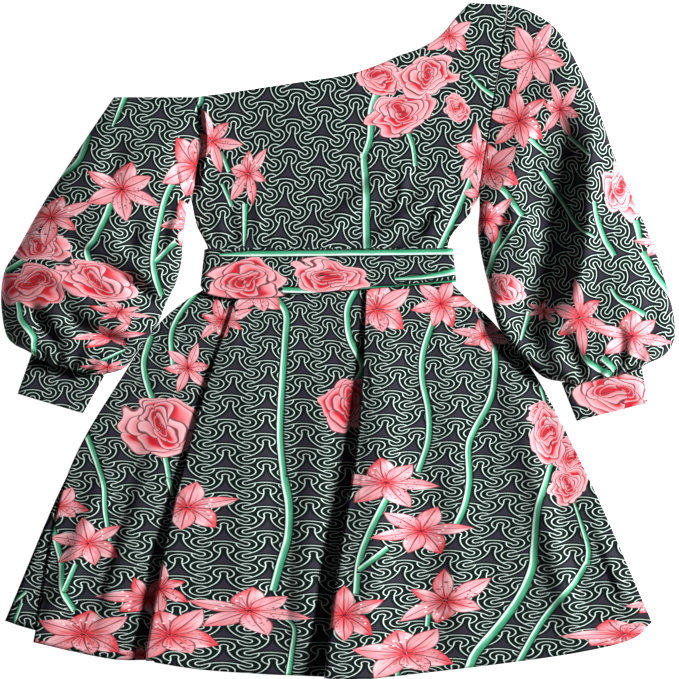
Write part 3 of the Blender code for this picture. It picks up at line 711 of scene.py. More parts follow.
neck = (NECK_LEFT[0] - SEAM, NECK_LEFT[1])
off_top = [OFF_OUTER[0], neck] + seam(ARMHOLE_LEFT, BODICE_SIDE_LEFT, neck, OFF_INNER[0])
shoulder_top = seam(ARMHOLE_RIGHT, BODICE_SIDE_RIGHT, SHOULDER_OUTER[0], SHOULDER_INNER[0])[::-1]
print("points of the armholes' seams:", len(off_top), "and", len(shoulder_top))


# %% Make the sleeves
def held_back(height, room):
    """Heights that never sink deeper than the room below: h divided by (1 + (h / room)^4)^(1/4), if it is
    negative."""
    part = np.minimum(height, 0) / np.maximum(room, LEAST_ROOM)
    return height / (1 + part ** 4) ** 0.25


def make_sleeve(name, top_edge, cuff_corners, left, right, crease_rows, seed):
    """The height of the top wall is the ring's side, plus the dome along a quarter circle, plus gathers as
    a cosine near the cuff, plus the creases."""
    place, past, low_place, top, side, reach = fine_rows(SLEEVE_ROWS, SLEEVE_RINGS)
    a, b, c, d = [np.array(corner, float) for corner in cuff_corners]
    wrist_way = (c + d - a - b) / np.hypot(*(c + d - a - b))
    end = [left[-1], right[-1]]
    columns = np.linspace(0, 1, SLEEVE_COLUMNS)
    low_plan = patch(top_edge, end, left, right, columns, low_place)
    width = row_width(low_plan)[:, None]
    hung = patch(top_edge, end, left, right, columns, place) + past[:, None, None] * wrist_way
    off_side = ease(np.minimum(columns, 1 - columns) * width / HANG_SIDE)[..., None]
    plan = low_plan + off_side * (hung - low_plan)
    near_cuff = ease((place - GATHER_START) / (1 - GATHER_START))[:, None]
    free = (ease(place * ARMHOLE_HELD) * (past >= 0) * (top > SEAM_TOP))[:, None]

    def height(where):
        round_up = rounding(where, width, reach[:, None])
        waves = GATHER_DEPTH * np.cos(2 * np.pi * GATHERS * where) * near_cuff
        points = pick(plan, where)
        soft = creases(points, crease_rows) + waves + unevenness(points, SLEEVE_UNEVEN, seed)
        dome = side[:, None] + (top - side)[:, None] * round_up
        inner = ease(round_up * 1.5 - 0.5)         # from a third of the way up the rounding
        return dome + held_back(soft * free * inner, dome - LOWEST)

    inset = SLEEVE_INSET * np.maximum(side, SLEEVE_SIDE)
    cloth(name, tube(plan, low_plan, SLEEVE_BELOW, SLEEVE_ABOVE, inset, side, height), under=SLEEVE_BELOW)


make_sleeve("sleeve_off_shoulder", off_top, CUFF_OFF, OFF_OUTER, OFF_INNER, OFF_CREASES, OFF_TURN)
make_sleeve("sleeve_shoulder", shoulder_top, CUFF_SHOULDER, SHOULDER_INNER, SHOULDER_OUTER,
            SHOULDER_CREASES, SHOULDER_TURN)

# %% Make the cuffs
CUFF_HEIGHT, CUFF_SIDE, CUFF_ROUNDING = 8.6, 4.4, 16.0
CUFF_ROWS, CUFF_COLUMNS = 24, 61
CUFF_BELOW, CUFF_ABOVE = 20, 50        # points of a ring on the table and over the top


def make_cuff(name, corners):
    """A flattened band between four corners: its top wall rounds up from its side along a quarter
    circle."""
    a, b, c, d = [np.array(corner, float) for corner in corners]
    u, v = np.linspace(0, 1, CUFF_COLUMNS)[None, :, None], np.linspace(0, 1, CUFF_ROWS)[:, None, None]
    plan = (1 - v) * ((1 - u) * a + u * b) + v * ((1 - u) * d + u * c)
    width = np.hypot(*(b - a))

    def height(where):
        return CUFF_SIDE + (CUFF_HEIGHT - CUFF_SIDE) * rounding(where, width, CUFF_ROUNDING)

    cloth(name, tube(plan, plan, CUFF_BELOW, CUFF_ABOVE, CUFF_SIDE, CUFF_SIDE, height), under=CUFF_BELOW)


make_cuff("cuff_off_shoulder", CUFF_OFF)
make_cuff("cuff_shoulder", CUFF_SHOULDER)

# %% [markdown]
# ## The belt
#
# The belt is a wide strip of the same print, wound flat round the waist. Its front strip has one long soft
# fold. It is a flattened tube as the cuffs are, with the fold as a trough along a line.

# %% Sizes of the belt
BELT_TOP = [(-195, 131), (-172, 133), (-14, 133), (164, 133)]
BELT_BOTTOM = [(-201, 78), (-188, 66), (-133, 60), (-4, 71), (169, 84)]
BELT_HEIGHT = 11.4
BELT_FOLD = [(-201, 103), (18, 112), (170, 113)]
BELT_FOLD_DEPTH, BELT_FOLD_WIDTH = 1.6, 5.0
BELT_ROUNDING = 9.0        # width over which the front strip rounds up from its edges
BELT_INSET = 4.0           # how far the back strip stops short of the widest line
BELT_ROWS, BELT_COLUMNS = 34, 161
BELT_BELOW, BELT_ABOVE = 40, 150       # points of a ring on the table and over the top
print("the belt is", BELT_TOP[-1][0] - BELT_TOP[0][0], "millimetres long, laid flat")


# %% Make the belt
def make_belt():
    """The front strip is level but for its fold: a step up to both sides of the fold's line."""
    across = np.linspace(0, 1, BELT_COLUMNS)
    v = np.linspace(0, 1, BELT_ROWS)[:, None, None]
    plan = (1 - v) * smooth(BELT_TOP, across) + v * smooth(BELT_BOTTOM, across)
    width = plan[:, -1:, 0] - plan[:, :1, 0]
    side = BELT_HEIGHT / 2

    def height(where):
        points = pick(plan, where)
        fold_y = np.interp(points[..., 0], *np.array(BELT_FOLD).T)
        ply = BELT_FOLD_DEPTH * (1 - np.exp(-((points[..., 1] - fold_y) / BELT_FOLD_WIDTH) ** 2))
        round_up = rounding(where, width, BELT_ROUNDING)
        inner = ease(round_up * 2 - 1)             # from half way up the rounding
        return side + (BELT_HEIGHT - side) * round_up + ply * inner

    cloth("belt", tube(plan, plan, BELT_BELOW, BELT_ABOVE, BELT_INSET, side, height), under=BELT_BELOW)


make_belt()

# %% [markdown]
# ## Nodes from formulas
#
# The print is drawn by shader nodes, so it stays sharp at any size and needs no picture. A drawing takes
# many Math nodes, which are tedious to place one by one. The small class below lets a formula be written as
# one: each sum, product or comparison of two fields adds a Math node and links it.

# %% Fields that build Math nodes
class Field:
    """A number that changes over the surface, as a socket of a node tree."""

    def __init__(self, tree, socket):
        self.tree, self.socket = tree, socket

    def math(self, operation, *others):
        """A Math node on this field and the others, which may be plain numbers."""
        node = self.tree.nodes.new("ShaderNodeMath")
        node.operation = operation
        for socket, value in zip(node.inputs, (self, *others)):
            plug(self.tree, value, socket)
        return Field(self.tree, node.outputs[0])

    def __add__(self, other):
        return self.math('ADD', other)

    def __radd__(self, other):
        return self.math('ADD', other)

    def __sub__(self, other):
        return self.math('SUBTRACT', other)

    def __rsub__(self, other):
        return (self * -1.0).math('ADD', other)

    def __mul__(self, other):
        return self.math('MULTIPLY', other)

    def __rmul__(self, other):
        return self.math('MULTIPLY', other)

    def __truediv__(self, other):
        return self.math('DIVIDE', other)

    def __pow__(self, other):
        return self.math('POWER', other)

    def __lt__(self, other):
        return self.math('LESS_THAN', other)

    def __gt__(self, other):
        return self.math('GREATER_THAN', other)

    def __abs__(self):
        return self.math('ABSOLUTE')

    def low(self, other):
        return self.math('MINIMUM', other)

    def high(self, other):
        return self.math('MAXIMUM', other)

    def step(self, start, end):
        """0 before start, 1 after end and a straight ramp between. Start may be past end, for a falling
        step."""
        node = self.tree.nodes.new("ShaderNodeMapRange")
        for socket, value in zip(node.inputs, (self, start, end)):
            plug(self.tree, value, socket)
        return Field(self.tree, node.outputs[0])

    def soft(self, start, end):
        """The same with a smooth ramp."""
        field = self.step(start, end)
        field.socket.node.interpolation_type = 'SMOOTHSTEP'
        return field


# %% Link or set a socket
def plug(tree, value, socket):
    """Links a field to a socket, or sets the socket to a plain value."""
    if isinstance(value, Field):
        tree.links.new(value.socket, socket)
    else:
        socket.default_value = value


# %% Mix, choose and noise
def mix(amount, first, second):
    """Two colours mixed by a field: first where it is 0, second where it is 1."""
    node = amount.tree.nodes.new("ShaderNodeMix")
    node.data_type = 'RGBA'
    for number, value in ((0, amount), (6, first), (7, second)):
        plug(amount.tree, value, node.inputs[number])
    return Field(amount.tree, node.outputs[2])


def choose(amount, first, second):
    """Two numbers mixed by a field: first where it is 0, second where it is 1."""
    node = amount.tree.nodes.new("ShaderNodeMix")
    for number, value in ((0, amount), (2, first), (3, second)):
        plug(amount.tree, value, node.inputs[number])
    return Field(amount.tree, node.outputs[0])


def noise(tree, place, detail=0.0):
    """Smooth noise at a place given by three fields."""
    node = tree.nodes.new("ShaderNodeTexNoise")
    node.inputs["Scale"].default_value = 1.0
    node.inputs["Detail"].default_value = detail
    joined = tree.nodes.new("ShaderNodeCombineXYZ")
    for socket, value in zip(joined.inputs, place):
        plug(tree, value, socket)
    tree.links.new(joined.outputs[0], node.inputs["Vector"])
    return Field(tree, node.outputs[0])


def polar(x, y):
    """Distance and angle of a point."""
    return (x * x + y * y).math('SQRT'), y.math('ARCTAN2', x)


# %% Colours
def colour(red, green, blue):
    """A printed colour, given in the eight-bit steps of a colour chart, in linear light."""
    c = np.array([red, green, blue]) / 255
    return (*np.where(c < 0.04045, c / 12.92, ((c + 0.055) / 1.055) ** 2.4).tolist(), 1.0)


print("the middle grey of a colour chart is", round(colour(128, 128, 128)[0], 3), "in linear light")


# %% Node groups
def new_group(name, inputs, outputs):
    """A node group with the named number inputs and the named outputs. Gives its tree and its input
    fields."""
    tree = bpy.data.node_groups.new(name, 'ShaderNodeTree')
    for socket in inputs:
        tree.interface.new_socket(socket, in_out='INPUT', socket_type='NodeSocketFloat')
    for socket, kind in outputs.items():
        tree.interface.new_socket(socket, in_out='OUTPUT', socket_type='NodeSocket' + kind)
    start = tree.nodes.new("NodeGroupInput")
    return tree, [Field(tree, start.outputs[socket]) for socket in inputs]


def close_group(tree, **outputs):
    """Links the fields to the group's outputs."""
    end = tree.nodes.new("NodeGroupOutput")
    for name, field in outputs.items():
        tree.links.new(field.socket, end.inputs[name])
    print("node group", tree.name, "with", len(tree.nodes), "nodes")


def use_group(tree, group, *inputs):
    """Places a node group and gives its outputs as fields."""
    node = tree.nodes.new("ShaderNodeGroup")
    node.node_tree = group
    for socket, value in zip(node.inputs, inputs):
        plug(tree, value, socket)
    return [Field(tree, socket) for socket in node.outputs if socket.enabled]


# %% [markdown]
# ## The interlocking ground
#
# The ground is a traditional kind of repeat: small figures with three arms, drawn by thin light lines, that
# lock into each other. Each arm ends in a loop with a second ring round it. One arm of one figure is drawn
# with circles, and the rest comes from folding the plane, as paper is folded for a cut-out. Worked out that
# way, the repeat needs few nodes, and its lattice can be stretched and turned to follow the cloth.

# %% Sizes of the ground
LATTICE = 30.0             # one step of the repeat, in the unit of the sizes below
SIDE_CENTRE = 24.6 / LATTICE           # distance of a side circle's centre from the figure's middle
SIDE_RADIUS = 19.3 / LATTICE
TIP = 14.9 / LATTICE       # distance of an arm's tip circle
TIP_RADIUS = 2.3 / LATTICE
RING = 15.3 / LATTICE      # distance of the ring round the tip
RING_RADIUS = 5.9 / LATTICE
ARM_END = 14.0 / LATTICE   # up to here an arm lies between side circles, and past here its own are drawn
OTHER_START = 15.0 / LATTICE           # from here the side circle of the next figure is drawn
LINE = 0.34 / LATTICE      # half width of a line
HALO = 3.0 / LATTICE       # the dark edging of a line
NOT_DRAWN = 9.0            # added to the distance from a line where it isn't drawn
print("an arm's tip lies at", round(TIP, 2), "of a step from the figure's middle")


# %% Draw the ground
def draw_ground():
    """Barycentric folding: the fractional lattice place is folded to a triangle by a swap, and turned until
    its smallest coordinate comes last. Then each line is a circle: distance from its centre minus its
    radius."""
    outputs = {"Line": "Float", "Figure": "Float", "Edging": "Float"}
    tree, (i, j) = new_group("interlocking_ground", ["Along", "Across"], outputs)
    f, g = i.math('FRACT'), j.math('FRACT')
    swap = (f + g) > 1.0
    f, g = choose(swap, f, 1.0 - g), choose(swap, g, 1.0 - f)
    one, two, three = 1.0 - f - g, f, g
    first_least = (one < two) * (one < three)
    second_least = (two < three) * (1.0 - first_least)
    near = choose(first_least, choose(second_least, two, one), three)
    far = choose(first_least, choose(second_least, three, two), one)
    x, y = near + far * 0.5, far * (np.sqrt(3) / 2)

    def circle(cx, cy, radius):
        return ((x - cx) * (x - cx) + (y - cy) * (y - cy)).math('SQRT') - radius

    side = circle(SIDE_CENTRE / 2, SIDE_CENTRE * np.sqrt(3) / 2, SIDE_RADIUS)
    other = circle(1 - SIDE_CENTRE, 0.0, SIDE_RADIUS)
    tip, ring = circle(TIP, 0.0, TIP_RADIUS), circle(RING, 0.0, RING_RADIUS)
    arm = x < ARM_END
    figure = arm * (side > 0.0)
    figure = figure.high(tip < 0.0).high((x > 0.5) * (other > 0.0))
    lines = abs(side) + (1.0 - arm) * NOT_DRAWN
    lines = lines.low(abs(tip) + arm * NOT_DRAWN)
    lines = lines.low(abs(ring) + figure * NOT_DRAWN)
    lines = lines.low(abs(other) + (x < OTHER_START) * NOT_DRAWN)
    close_group(tree, Line=lines.step(LINE * 1.4, LINE * 0.6), Figure=figure,
                Edging=lines.soft(HALO, HALO * 0.5))
    return tree


ground_group = draw_ground()

# %% [markdown]
# ## Lilies
#
# The large flowers are lilies with six pointed petals, coral at the heart and pale pink further out. Each
# is drawn round its own middle: x and y run from -1 to 1 over the flower. Five ways of opening are kept in
# a table, one row for each petal, and a Color Ramp with constant steps serves the nodes as that table: it
# can hold up to 32 rows of four values. Petals are laid one over the other, the last one on top.

# %% The petals of the lilies
# Direction in degrees, length, half width as a part of the widest, and how coral the tip is; back petals
# first
LILIES = {
    "open": [(62, 0.90, 0.76, 0.6), (182, 1.00, 0.62, 0.5), (300, 0.84, 0.84, 1.0),
             (2, 1.00, 0.60, 0.7), (118, 0.96, 0.74, 0.1), (238, 0.78, 0.70, 0.4)],
    "side": [(80, 0.66, 0.66, 0.9), (340, 0.66, 0.54, 1.0), (140, 0.64, 0.66, 0.3),
             (20, 1.00, 0.56, 0.2), (205, 1.00, 0.66, 0.3), (272, 0.90, 0.60, 0.9)],
    "broad": [(90, 0.82, 1.00, 0.8), (210, 1.00, 0.84, 0.2), (330, 0.86, 0.94, 1.0),
              (30, 1.00, 0.80, 0.2), (150, 0.94, 0.86, 0.5), (268, 0.70, 0.80, 0.1)],
    "star": [(45, 1.00, 0.54, 0.3), (170, 0.80, 0.60, 0.8), (285, 1.00, 0.56, 0.1),
             (350, 0.76, 0.58, 0.7), (105, 0.94, 0.60, 0.0), (228, 0.98, 0.58, 0.5)],
    "bell": [(20, 0.70, 0.50, 0.9), (160, 0.66, 0.50, 0.2), (305, 0.86, 0.62, 1.0),
             (240, 0.92, 0.62, 0.1), (70, 0.96, 0.56, 0.6), (108, 1.00, 0.50, 0.0)],
}
print("lilies:", ", ".join(LILIES))


# %% A Color Ramp as a table
def petal_table(tree, row):
    """Looks up a row of the table of petals: direction, length, half width and tip, each from 0 to 1."""
    ramp = tree.nodes.new("ShaderNodeValToRGB")
    ramp.color_ramp.interpolation = 'CONSTANT'
    rows = [petal for petals in LILIES.values() for petal in petals]
    stops = ramp.color_ramp.elements
    while len(stops) < len(rows):
        stops.new(1.0)
    for number, (direction, length, width, tip) in enumerate(rows):
        stops[number].position = number / len(rows)
        stops[number].color = (direction / 360, length, width, tip)
    tree.links.new(((row + 0.5) * (1 / len(rows))).socket, ramp.inputs[0])
    parts = tree.nodes.new("ShaderNodeSeparateColor")
    tree.links.new(ramp.outputs[0], parts.inputs[0])
    return [Field(tree, socket) for socket in (*parts.outputs, ramp.outputs[1])]


# %% Draw a petal
PETAL_WIDTH = 0.32         # half width of the widest petal
PETAL_RISE, PETAL_FALL = 1.1, 1.2      # powers of u and of 1 - u
PETAL_SCALE = 4.9          # brings the product of the two to 1 where it is largest
PETAL_BEND = 0.42


def draw_petal():
    """One petal from u = 0 at the heart to 1 at the tip. Its half width is the product of a power of u and
    a power of 1 - u, v is the place across from -1 to 1, and it bends sideways by a part of u squared."""
    tree, (x, y, row) = new_group("petal", ["X", "Y", "Row"],
                                  {"Along": "Float", "Across": "Float", "Edge": "Float", "Tip": "Float"})
    direction, length, width, tip = petal_table(tree, row)
    angle = direction * (2 * np.pi)
    c, s = angle.math('COSINE'), angle.math('SINE')
    u = (x * c + y * s) / length
    half = width * PETAL_WIDTH
    v = (y * c - x * s + (tip - 0.5) * PETAL_BEND * u * u) / half
    inside_u = u.high(0.0).low(1.0)
    shape = inside_u ** PETAL_RISE * (1.0 - inside_u) ** PETAL_FALL * PETAL_SCALE
    close_group(tree, Along=u, Across=v, Edge=(shape - abs(v)) * half, Tip=tip)
    return tree


petal_group = draw_petal()

# %% Petals over each other, and stamens
PETALS = 6                 # of each lily
STAMENS = 4.5              # filaments to a radian


def top_petal(tree, x, y, kind):
    """Six petals laid over each other: at each point the last one that reaches it counts."""
    top = use_group(tree, petal_group, x, y, kind * PETALS)
    for number in range(1, PETALS):
        petal = use_group(tree, petal_group, x, y, kind * PETALS + number)
        over = petal[2] > 0.0
        top = [choose(over, a, b) for a, b in zip(top, petal)]
    return top


def stamens(distance, turn):
    """Lines at equal angles round the heart, each with its own length, and their pale heads."""
    spread = turn.math('COSINE').soft(0.74, 0.84)
    place = turn.math('SINE') * STAMENS
    reach = ((place.math('FLOOR') * 0.37).math('FRACT') * 0.20) + 0.34
    off = abs(place.math('FRACT') - 0.5) * distance / STAMENS
    line = off.step(0.012, 0.004) * distance.step(0.12, 0.2) * (distance - reach).step(0.0, -0.04) * spread
    away = (distance - reach) * 0.7
    return line, (off * off + away * away).math('SQRT').step(0.025, 0.013) * spread


# %% Draw a lily
PINK, PALE = colour(245, 168, 177), colour(250, 206, 211)
CORAL, DEEP = colour(232, 74, 84), colour(206, 30, 46)
VEIN, WHITE = colour(104, 18, 34), colour(255, 244, 242)


def draw_lily():
    """Petals coloured along and across, with streaks from noise that is stretched along the radius. Then
    the stamens, and small dark specks on the petals opposite. The kind's whole part is the lily's number in
    the table, and its fraction says how deep the coral is. Each step or soft says where a tone begins and
    ends, in parts of the flower's radius, of a petal's length or of its half width."""
    tree, (x, y, code) = new_group("lily", ["X", "Y", "Kind"], {"Inside": "Float", "Colour": "Color"})
    kind, depth = code.math('FLOOR'), code.math('FRACT')
    u, v, edge, tip = top_petal(tree, x, y, kind)
    distance, angle = polar(x, y)
    streak = noise(tree, (angle * 9.0, distance * 1.6, kind * 7.0)) - 0.5
    heart = (distance + streak * 0.6).soft(0.14 + depth * 0.50, 0.04)
    end = (u + v * 0.22 + streak * 0.4).soft(0.50, 0.95) * tip * (0.5 + depth)
    flank = (v + streak * 0.8).soft(0.30, 1.00) * (tip * 0.5 + depth * 0.6)
    coral = heart.high(end).high(flank).low(1.0)
    pale = (v + streak * 0.4).soft(0.1, -0.8) * u.soft(0.3, 0.7)
    vein = abs(v).step(0.08, 0.03) * u.step(0.10, 0.2) * u.step(0.93, 0.8)
    rib = abs(abs(v) - 0.42).step(0.07, 0.03) * u.step(0.2, 0.3) * u.step(0.7, 0.5) * 0.35
    mark = vein.high(edge.step(0.036, 0.016)).high(rib)
    turn = angle - kind * 1.1 + 0.4
    filament, head = stamens(distance, turn)
    grain = noise(tree, (x * 17.0, y * 17.0, kind)).step(0.63, 0.69)
    speck = grain * (0.0 - turn.math('COSINE')).soft(0.1, 0.5)
    speck = speck * distance.step(0.22, 0.3) * distance.step(0.62, 0.52)
    tone = mix(coral, PINK, CORAL)
    tone = mix(pale * (1.0 - coral) * 0.8, tone, PALE)
    tone = mix((distance.soft(0.24, 0.02) * 0.7).high((coral * flank).soft(0.7, 1.2)), tone, DEEP)
    tone = mix(mark.high(filament * 0.8).high(speck) * 0.84, tone, VEIN)
    tone = mix(head * 0.9, tone, WHITE)
    close_group(tree, Inside=edge.step(0.0, 0.012) * (u > 0.0), Colour=tone)
    return tree


lily_group = draw_lily()

# %% [markdown]
# ## Roses
#
# The round flowers are roses: rings of petals, each ring smaller than the one before and laid on it. A
# petal's rim is pale, the cloth darkens towards the next ring, and a thin dark line follows each rim.

# %% Draw a ring of petals
# Radius of a ring, petals in it, turn in degrees, depth of its scallops, how far it sits above the middle
ROSE_RINGS = [(0.94, 6, 12, 0.20, 0.00), (0.76, 5, 50, 0.24, 0.03), (0.58, 5, 10, 0.28, 0.06),
              (0.42, 4, 62, 0.28, 0.09), (0.28, 3, 25, 0.30, 0.11), (0.15, 2, 70, 0.30, 0.12)]


def draw_ring():
    """One ring: its rim is the radius, plus scallops from the absolute cosine of half the petals' angle,
    plus a slow swell. Shade runs inwards from the rim."""
    names = ["X", "Y", "Radius", "Petals", "Turn", "Scallop", "Seed"]
    tree, (x, y, radius, petals, turn, scallop, seed) = new_group(
        "rose_ring", names, {"Edge": "Float", "Shade": "Float", "Mark": "Float"})
    distance, angle = polar(x, y)
    wave = (angle * 2.0 + seed * 2.4 + radius * 5.0).math('SINE')
    lobe = abs(((angle - turn) * petals * 0.5).math('COSINE'))
    rim = radius * (1.0 + scallop * (lobe ** 0.5 - 0.7) + wave * 0.07)
    edge = rim - distance
    shade = (edge / (radius * 0.42)).soft(0.0, 1.0) * (0.72 + wave * 0.38)
    fold = (lobe * distance).step(0.035, 0.015) * edge.step(0.22, 0.12)
    close_group(tree, Edge=edge, Shade=shade, Mark=edge.step(0.048, 0.026).high(fold))
    return tree


ring_group = draw_ring()

# %% Draw a rose
SWAY = 0.62                # how far noise moves a point


def draw_rose():
    """The rings laid over each other from the widest to the heart. Slow noise moves each point a little
    first, so that no ring is round and no two petals are alike."""
    tree, (x, y, code) = new_group("rose", ["X", "Y", "Seed"], {"Inside": "Float", "Colour": "Color"})
    seed, depth = code.math('FLOOR'), code.math('FRACT')
    sway = noise(tree, (x * 1.7, y * 1.7, seed * 3.1))
    roll = noise(tree, (x * 1.9, y * 1.9, seed * 3.1 + 50.0))
    x, y = x + (sway - 0.5) * SWAY, y + (roll - 0.5) * SWAY
    inside = shade = mark = None
    for radius, petals, turn, scallop, lift in ROSE_RINGS:
        edge, ring_shade, ring_mark = use_group(tree, ring_group, x, y - lift, radius, petals,
                                                seed * 1.7 + np.radians(turn), scallop, seed)
        if inside is None:
            inside, shade, mark = edge.step(0.0, 0.012), ring_shade, ring_mark
        else:
            over = edge > 0.0
            shade, mark = choose(over, shade, ring_shade), choose(over, mark, ring_mark)
    shade = shade + depth * 0.5 - 0.1
    tone = mix(shade.step(0.05, 0.35), PALE, mix(shade.step(0.30, 0.90), PINK, CORAL))
    tone = mix(shade.soft(0.60, 1.05), tone, DEEP)
    tone = mix(mark * 0.9, tone, VEIN)
    close_group(tree, Inside=inside, Colour=tone)
    return tree


rose_group = draw_rose()

# %% [markdown]
# ## How the ground lies on each piece
#
# The repeat is a lattice of two steps: one down and one to the right. Each piece was cut in its own
# direction and the skirt is drawn out wider towards its hem, so every piece has its own two steps, in
# squares of the paper. The UV map "print" counts steps, and the node group turns them into lines.

# %% Steps of the repeat
# The down step, the right step and one crossing, as (x, y) squares, on each plain piece
PRINT_STEPS = {
    "bodice_front": ((-3.6, 29.8), (27.9, 17.6), (319.2, 161.5)),
    "bodice_back": ((-3.6, 29.8), (27.9, 17.6), (310.0, 150.0)),
    "sleeve_off_shoulder": ((-5.0, 25.4), (29.0, 16.6), (82.5, 183.5)),
    "sleeve_shoulder": ((13.0, 25.0), (30.4, 2.0), (601.0, 107.0)),
    "cuff_off_shoulder": ((-5.2, 24.5), (27.3, 14.7), (63.0, 400.0)),
    "cuff_shoulder": ((0.0, 26.0), (28.0, 14.0), (600.0, 390.0)),
    "belt": ((0.0, 25.0), (29.0, 14.0), (300.0, 265.0)),
    "skirt_back": ((3.0, 24.0), (38.0, 14.0), (300.0, 480.0)),
}
# The front skirt's three stretches: a column of crossings and the right step, at four heights down the
# skirt, then one crossing's height, the right step's drop and the down step
SKIRT_AREAS = ("skirt_left", "skirt_middle", "skirt_right")
SKIRT_HEIGHTS = (320, 430, 540, 650)
SKIRT_PRINT = [
    ((100, 146, 195, 245), (30, 34, 41, 47), 422.8, 13.0, 23.5),
    ((271, 266, 268, 273), (29, 39, 44, 49), 453.5, 14.3, 24.3),
    ((536, 527, 496, 455), (31, 36, 40, 45), 465.3, 13.8, 23.6),
]
print("a step of the repeat on the belt:", PRINT_STEPS["belt"][0][1] * SQUARE, "millimetres")


# %% Count the steps
def add_map(mesh, name, values):
    """A UV map from one pair of values for each face corner."""
    layer = mesh.uv_layers.new(name=name)
    layer.data.foreach_set("uv", np.ascontiguousarray(values, np.float32).reshape(-1))


def lattice_place(paper, down_step, right_step, crossing):
    """Steps counted up and to the left: minus the inverse of the two steps' matrix times the place."""
    steps = np.array([down_step, right_step], float).T
    return -((paper - crossing) @ np.linalg.inv(steps).T)


def skirt_lattice(paper, columns, right_steps, height, drop, down_step):
    """The same where the right step grows down the skirt and the columns lean."""
    x, y = paper[..., 0], paper[..., 1]
    across = (x - np.interp(y, SKIRT_HEIGHTS, columns)) / np.interp(y, SKIRT_HEIGHTS, right_steps)
    return -np.stack([(y - height - drop * across) / down_step, across], axis=-1)


print("two squares down and one right of a crossing:",
      lattice_place(np.array([1.0, 2.0]), *PRINT_STEPS["belt"][:2], (0.0, 0.0)).round(3), "steps")

# %% Lay the repeat on the pieces
for name, piece in cloth_pieces.items():
    if name == "skirt_front":
        stretch = skirt_stretch[piece["column"]]
        places = [skirt_lattice(piece["flat"], *row) for row in SKIRT_PRINT]
        place = np.select([(stretch == number)[:, None, None] for number in range(len(places))], places)
        piece["areas"] = {area: stretch == number for number, area in enumerate(SKIRT_AREAS)}
    else:
        place = lattice_place(piece["flat"], *PRINT_STEPS[name])
        piece["areas"] = {name: piece["column"] >= piece["under"]}
        if piece["under"]:
            piece["areas"][name + "_under"] = piece["column"] < piece["under"]
    add_map(piece["object"].data, "print", place)
    print(name, "repeats", np.round(np.ptp(place.reshape(-1, 2), axis=0), 1))

# %% [markdown]
# ## Where the flowers and stems are printed
#
# Each row places one flower on the squared paper: its middle, half its width and height, and its turn. The
# first rows lie on top of the later ones. On the skirt a flower belongs to one stretch, so that a fold cuts
# it as it cuts the real print. Stems are lines of points with a half width at each end.

# %% Flowers of the bodice, the sleeves and the belt
# Flower, x, y, half width, half height, turn in degrees or a rose's number, and how deep its coral is
FLOWERS = {
    "sleeve_off_shoulder": [
        ("open", 123, 190, 44, 34, 148, 0.4), ("side", 52, 218, 50, 34, 0, 0.4),
        ("broad", 196, 166, 38, 40, 170, 0.6), ("open", 192, 223, 32, 30, 190, 0.5),
        ("rose", 40, 248, 32, 17, 1, 0.5), ("rose", 34, 286, 38, 23, 2, 0.7),
        ("rose", 96, 281, 42, 20, 3, 0.6), ("bell", 120, 312, 38, 15, 220, 0.7),
        ("bell", 110, 336, 42, 18, 300, 0.9), ("bell", 108, 367, 34, 13, 240, 0.5),
    ],
    "bodice_front": [
        ("star", 212, 141, 32, 36, 60, 0.5), ("side", 248, 174, 28, 36, 20, 0.4),
        ("rose", 427, 76, 31, 23, 4, 0.5), ("rose", 401, 114, 38, 21, 6, 0.6),
        ("rose", 380, 76, 26, 18, 5, 0.6), ("rose", 458, 109, 14, 14, 7, 0.5),
        ("broad", 449, 36, 28, 24, 0, 0.5), ("open", 479, 156, 28, 35, 100, 0.6),
        ("bell", 480, 196, 26, 34, 0, 0.5),
    ],
    "sleeve_shoulder": [
        ("open", 533, 58, 38, 42, 62, 0.1), ("open", 519, 121, 34, 37, 40, 0.9),
        ("star", 560, 110, 26, 32, 0, 0.6), ("broad", 489, 170, 40, 32, 10, 0.9),
        ("side", 486, 220, 38, 30, 20, 0.8), ("rose", 620, 193, 18, 33, 2, 0.3),
        ("open", 652, 246, 28, 20, 180, 0.5), ("rose", 502, 290, 22, 16, 3, 0.5),
        ("bell", 543, 312, 18, 15, 80, 0.4), ("open", 630, 336, 46, 30, 165, 0.4),
        ("star", 578, 318, 32, 42, 50, 0.9),
    ],
    "cuff_shoulder": [("rose", 614, 393, 46, 24, 5, 0.6)],
    "belt": [("rose", 245, 284, 46, 24, 8, 0.6), ("rose", 328, 278, 40, 20, 9, 0.5)],
}

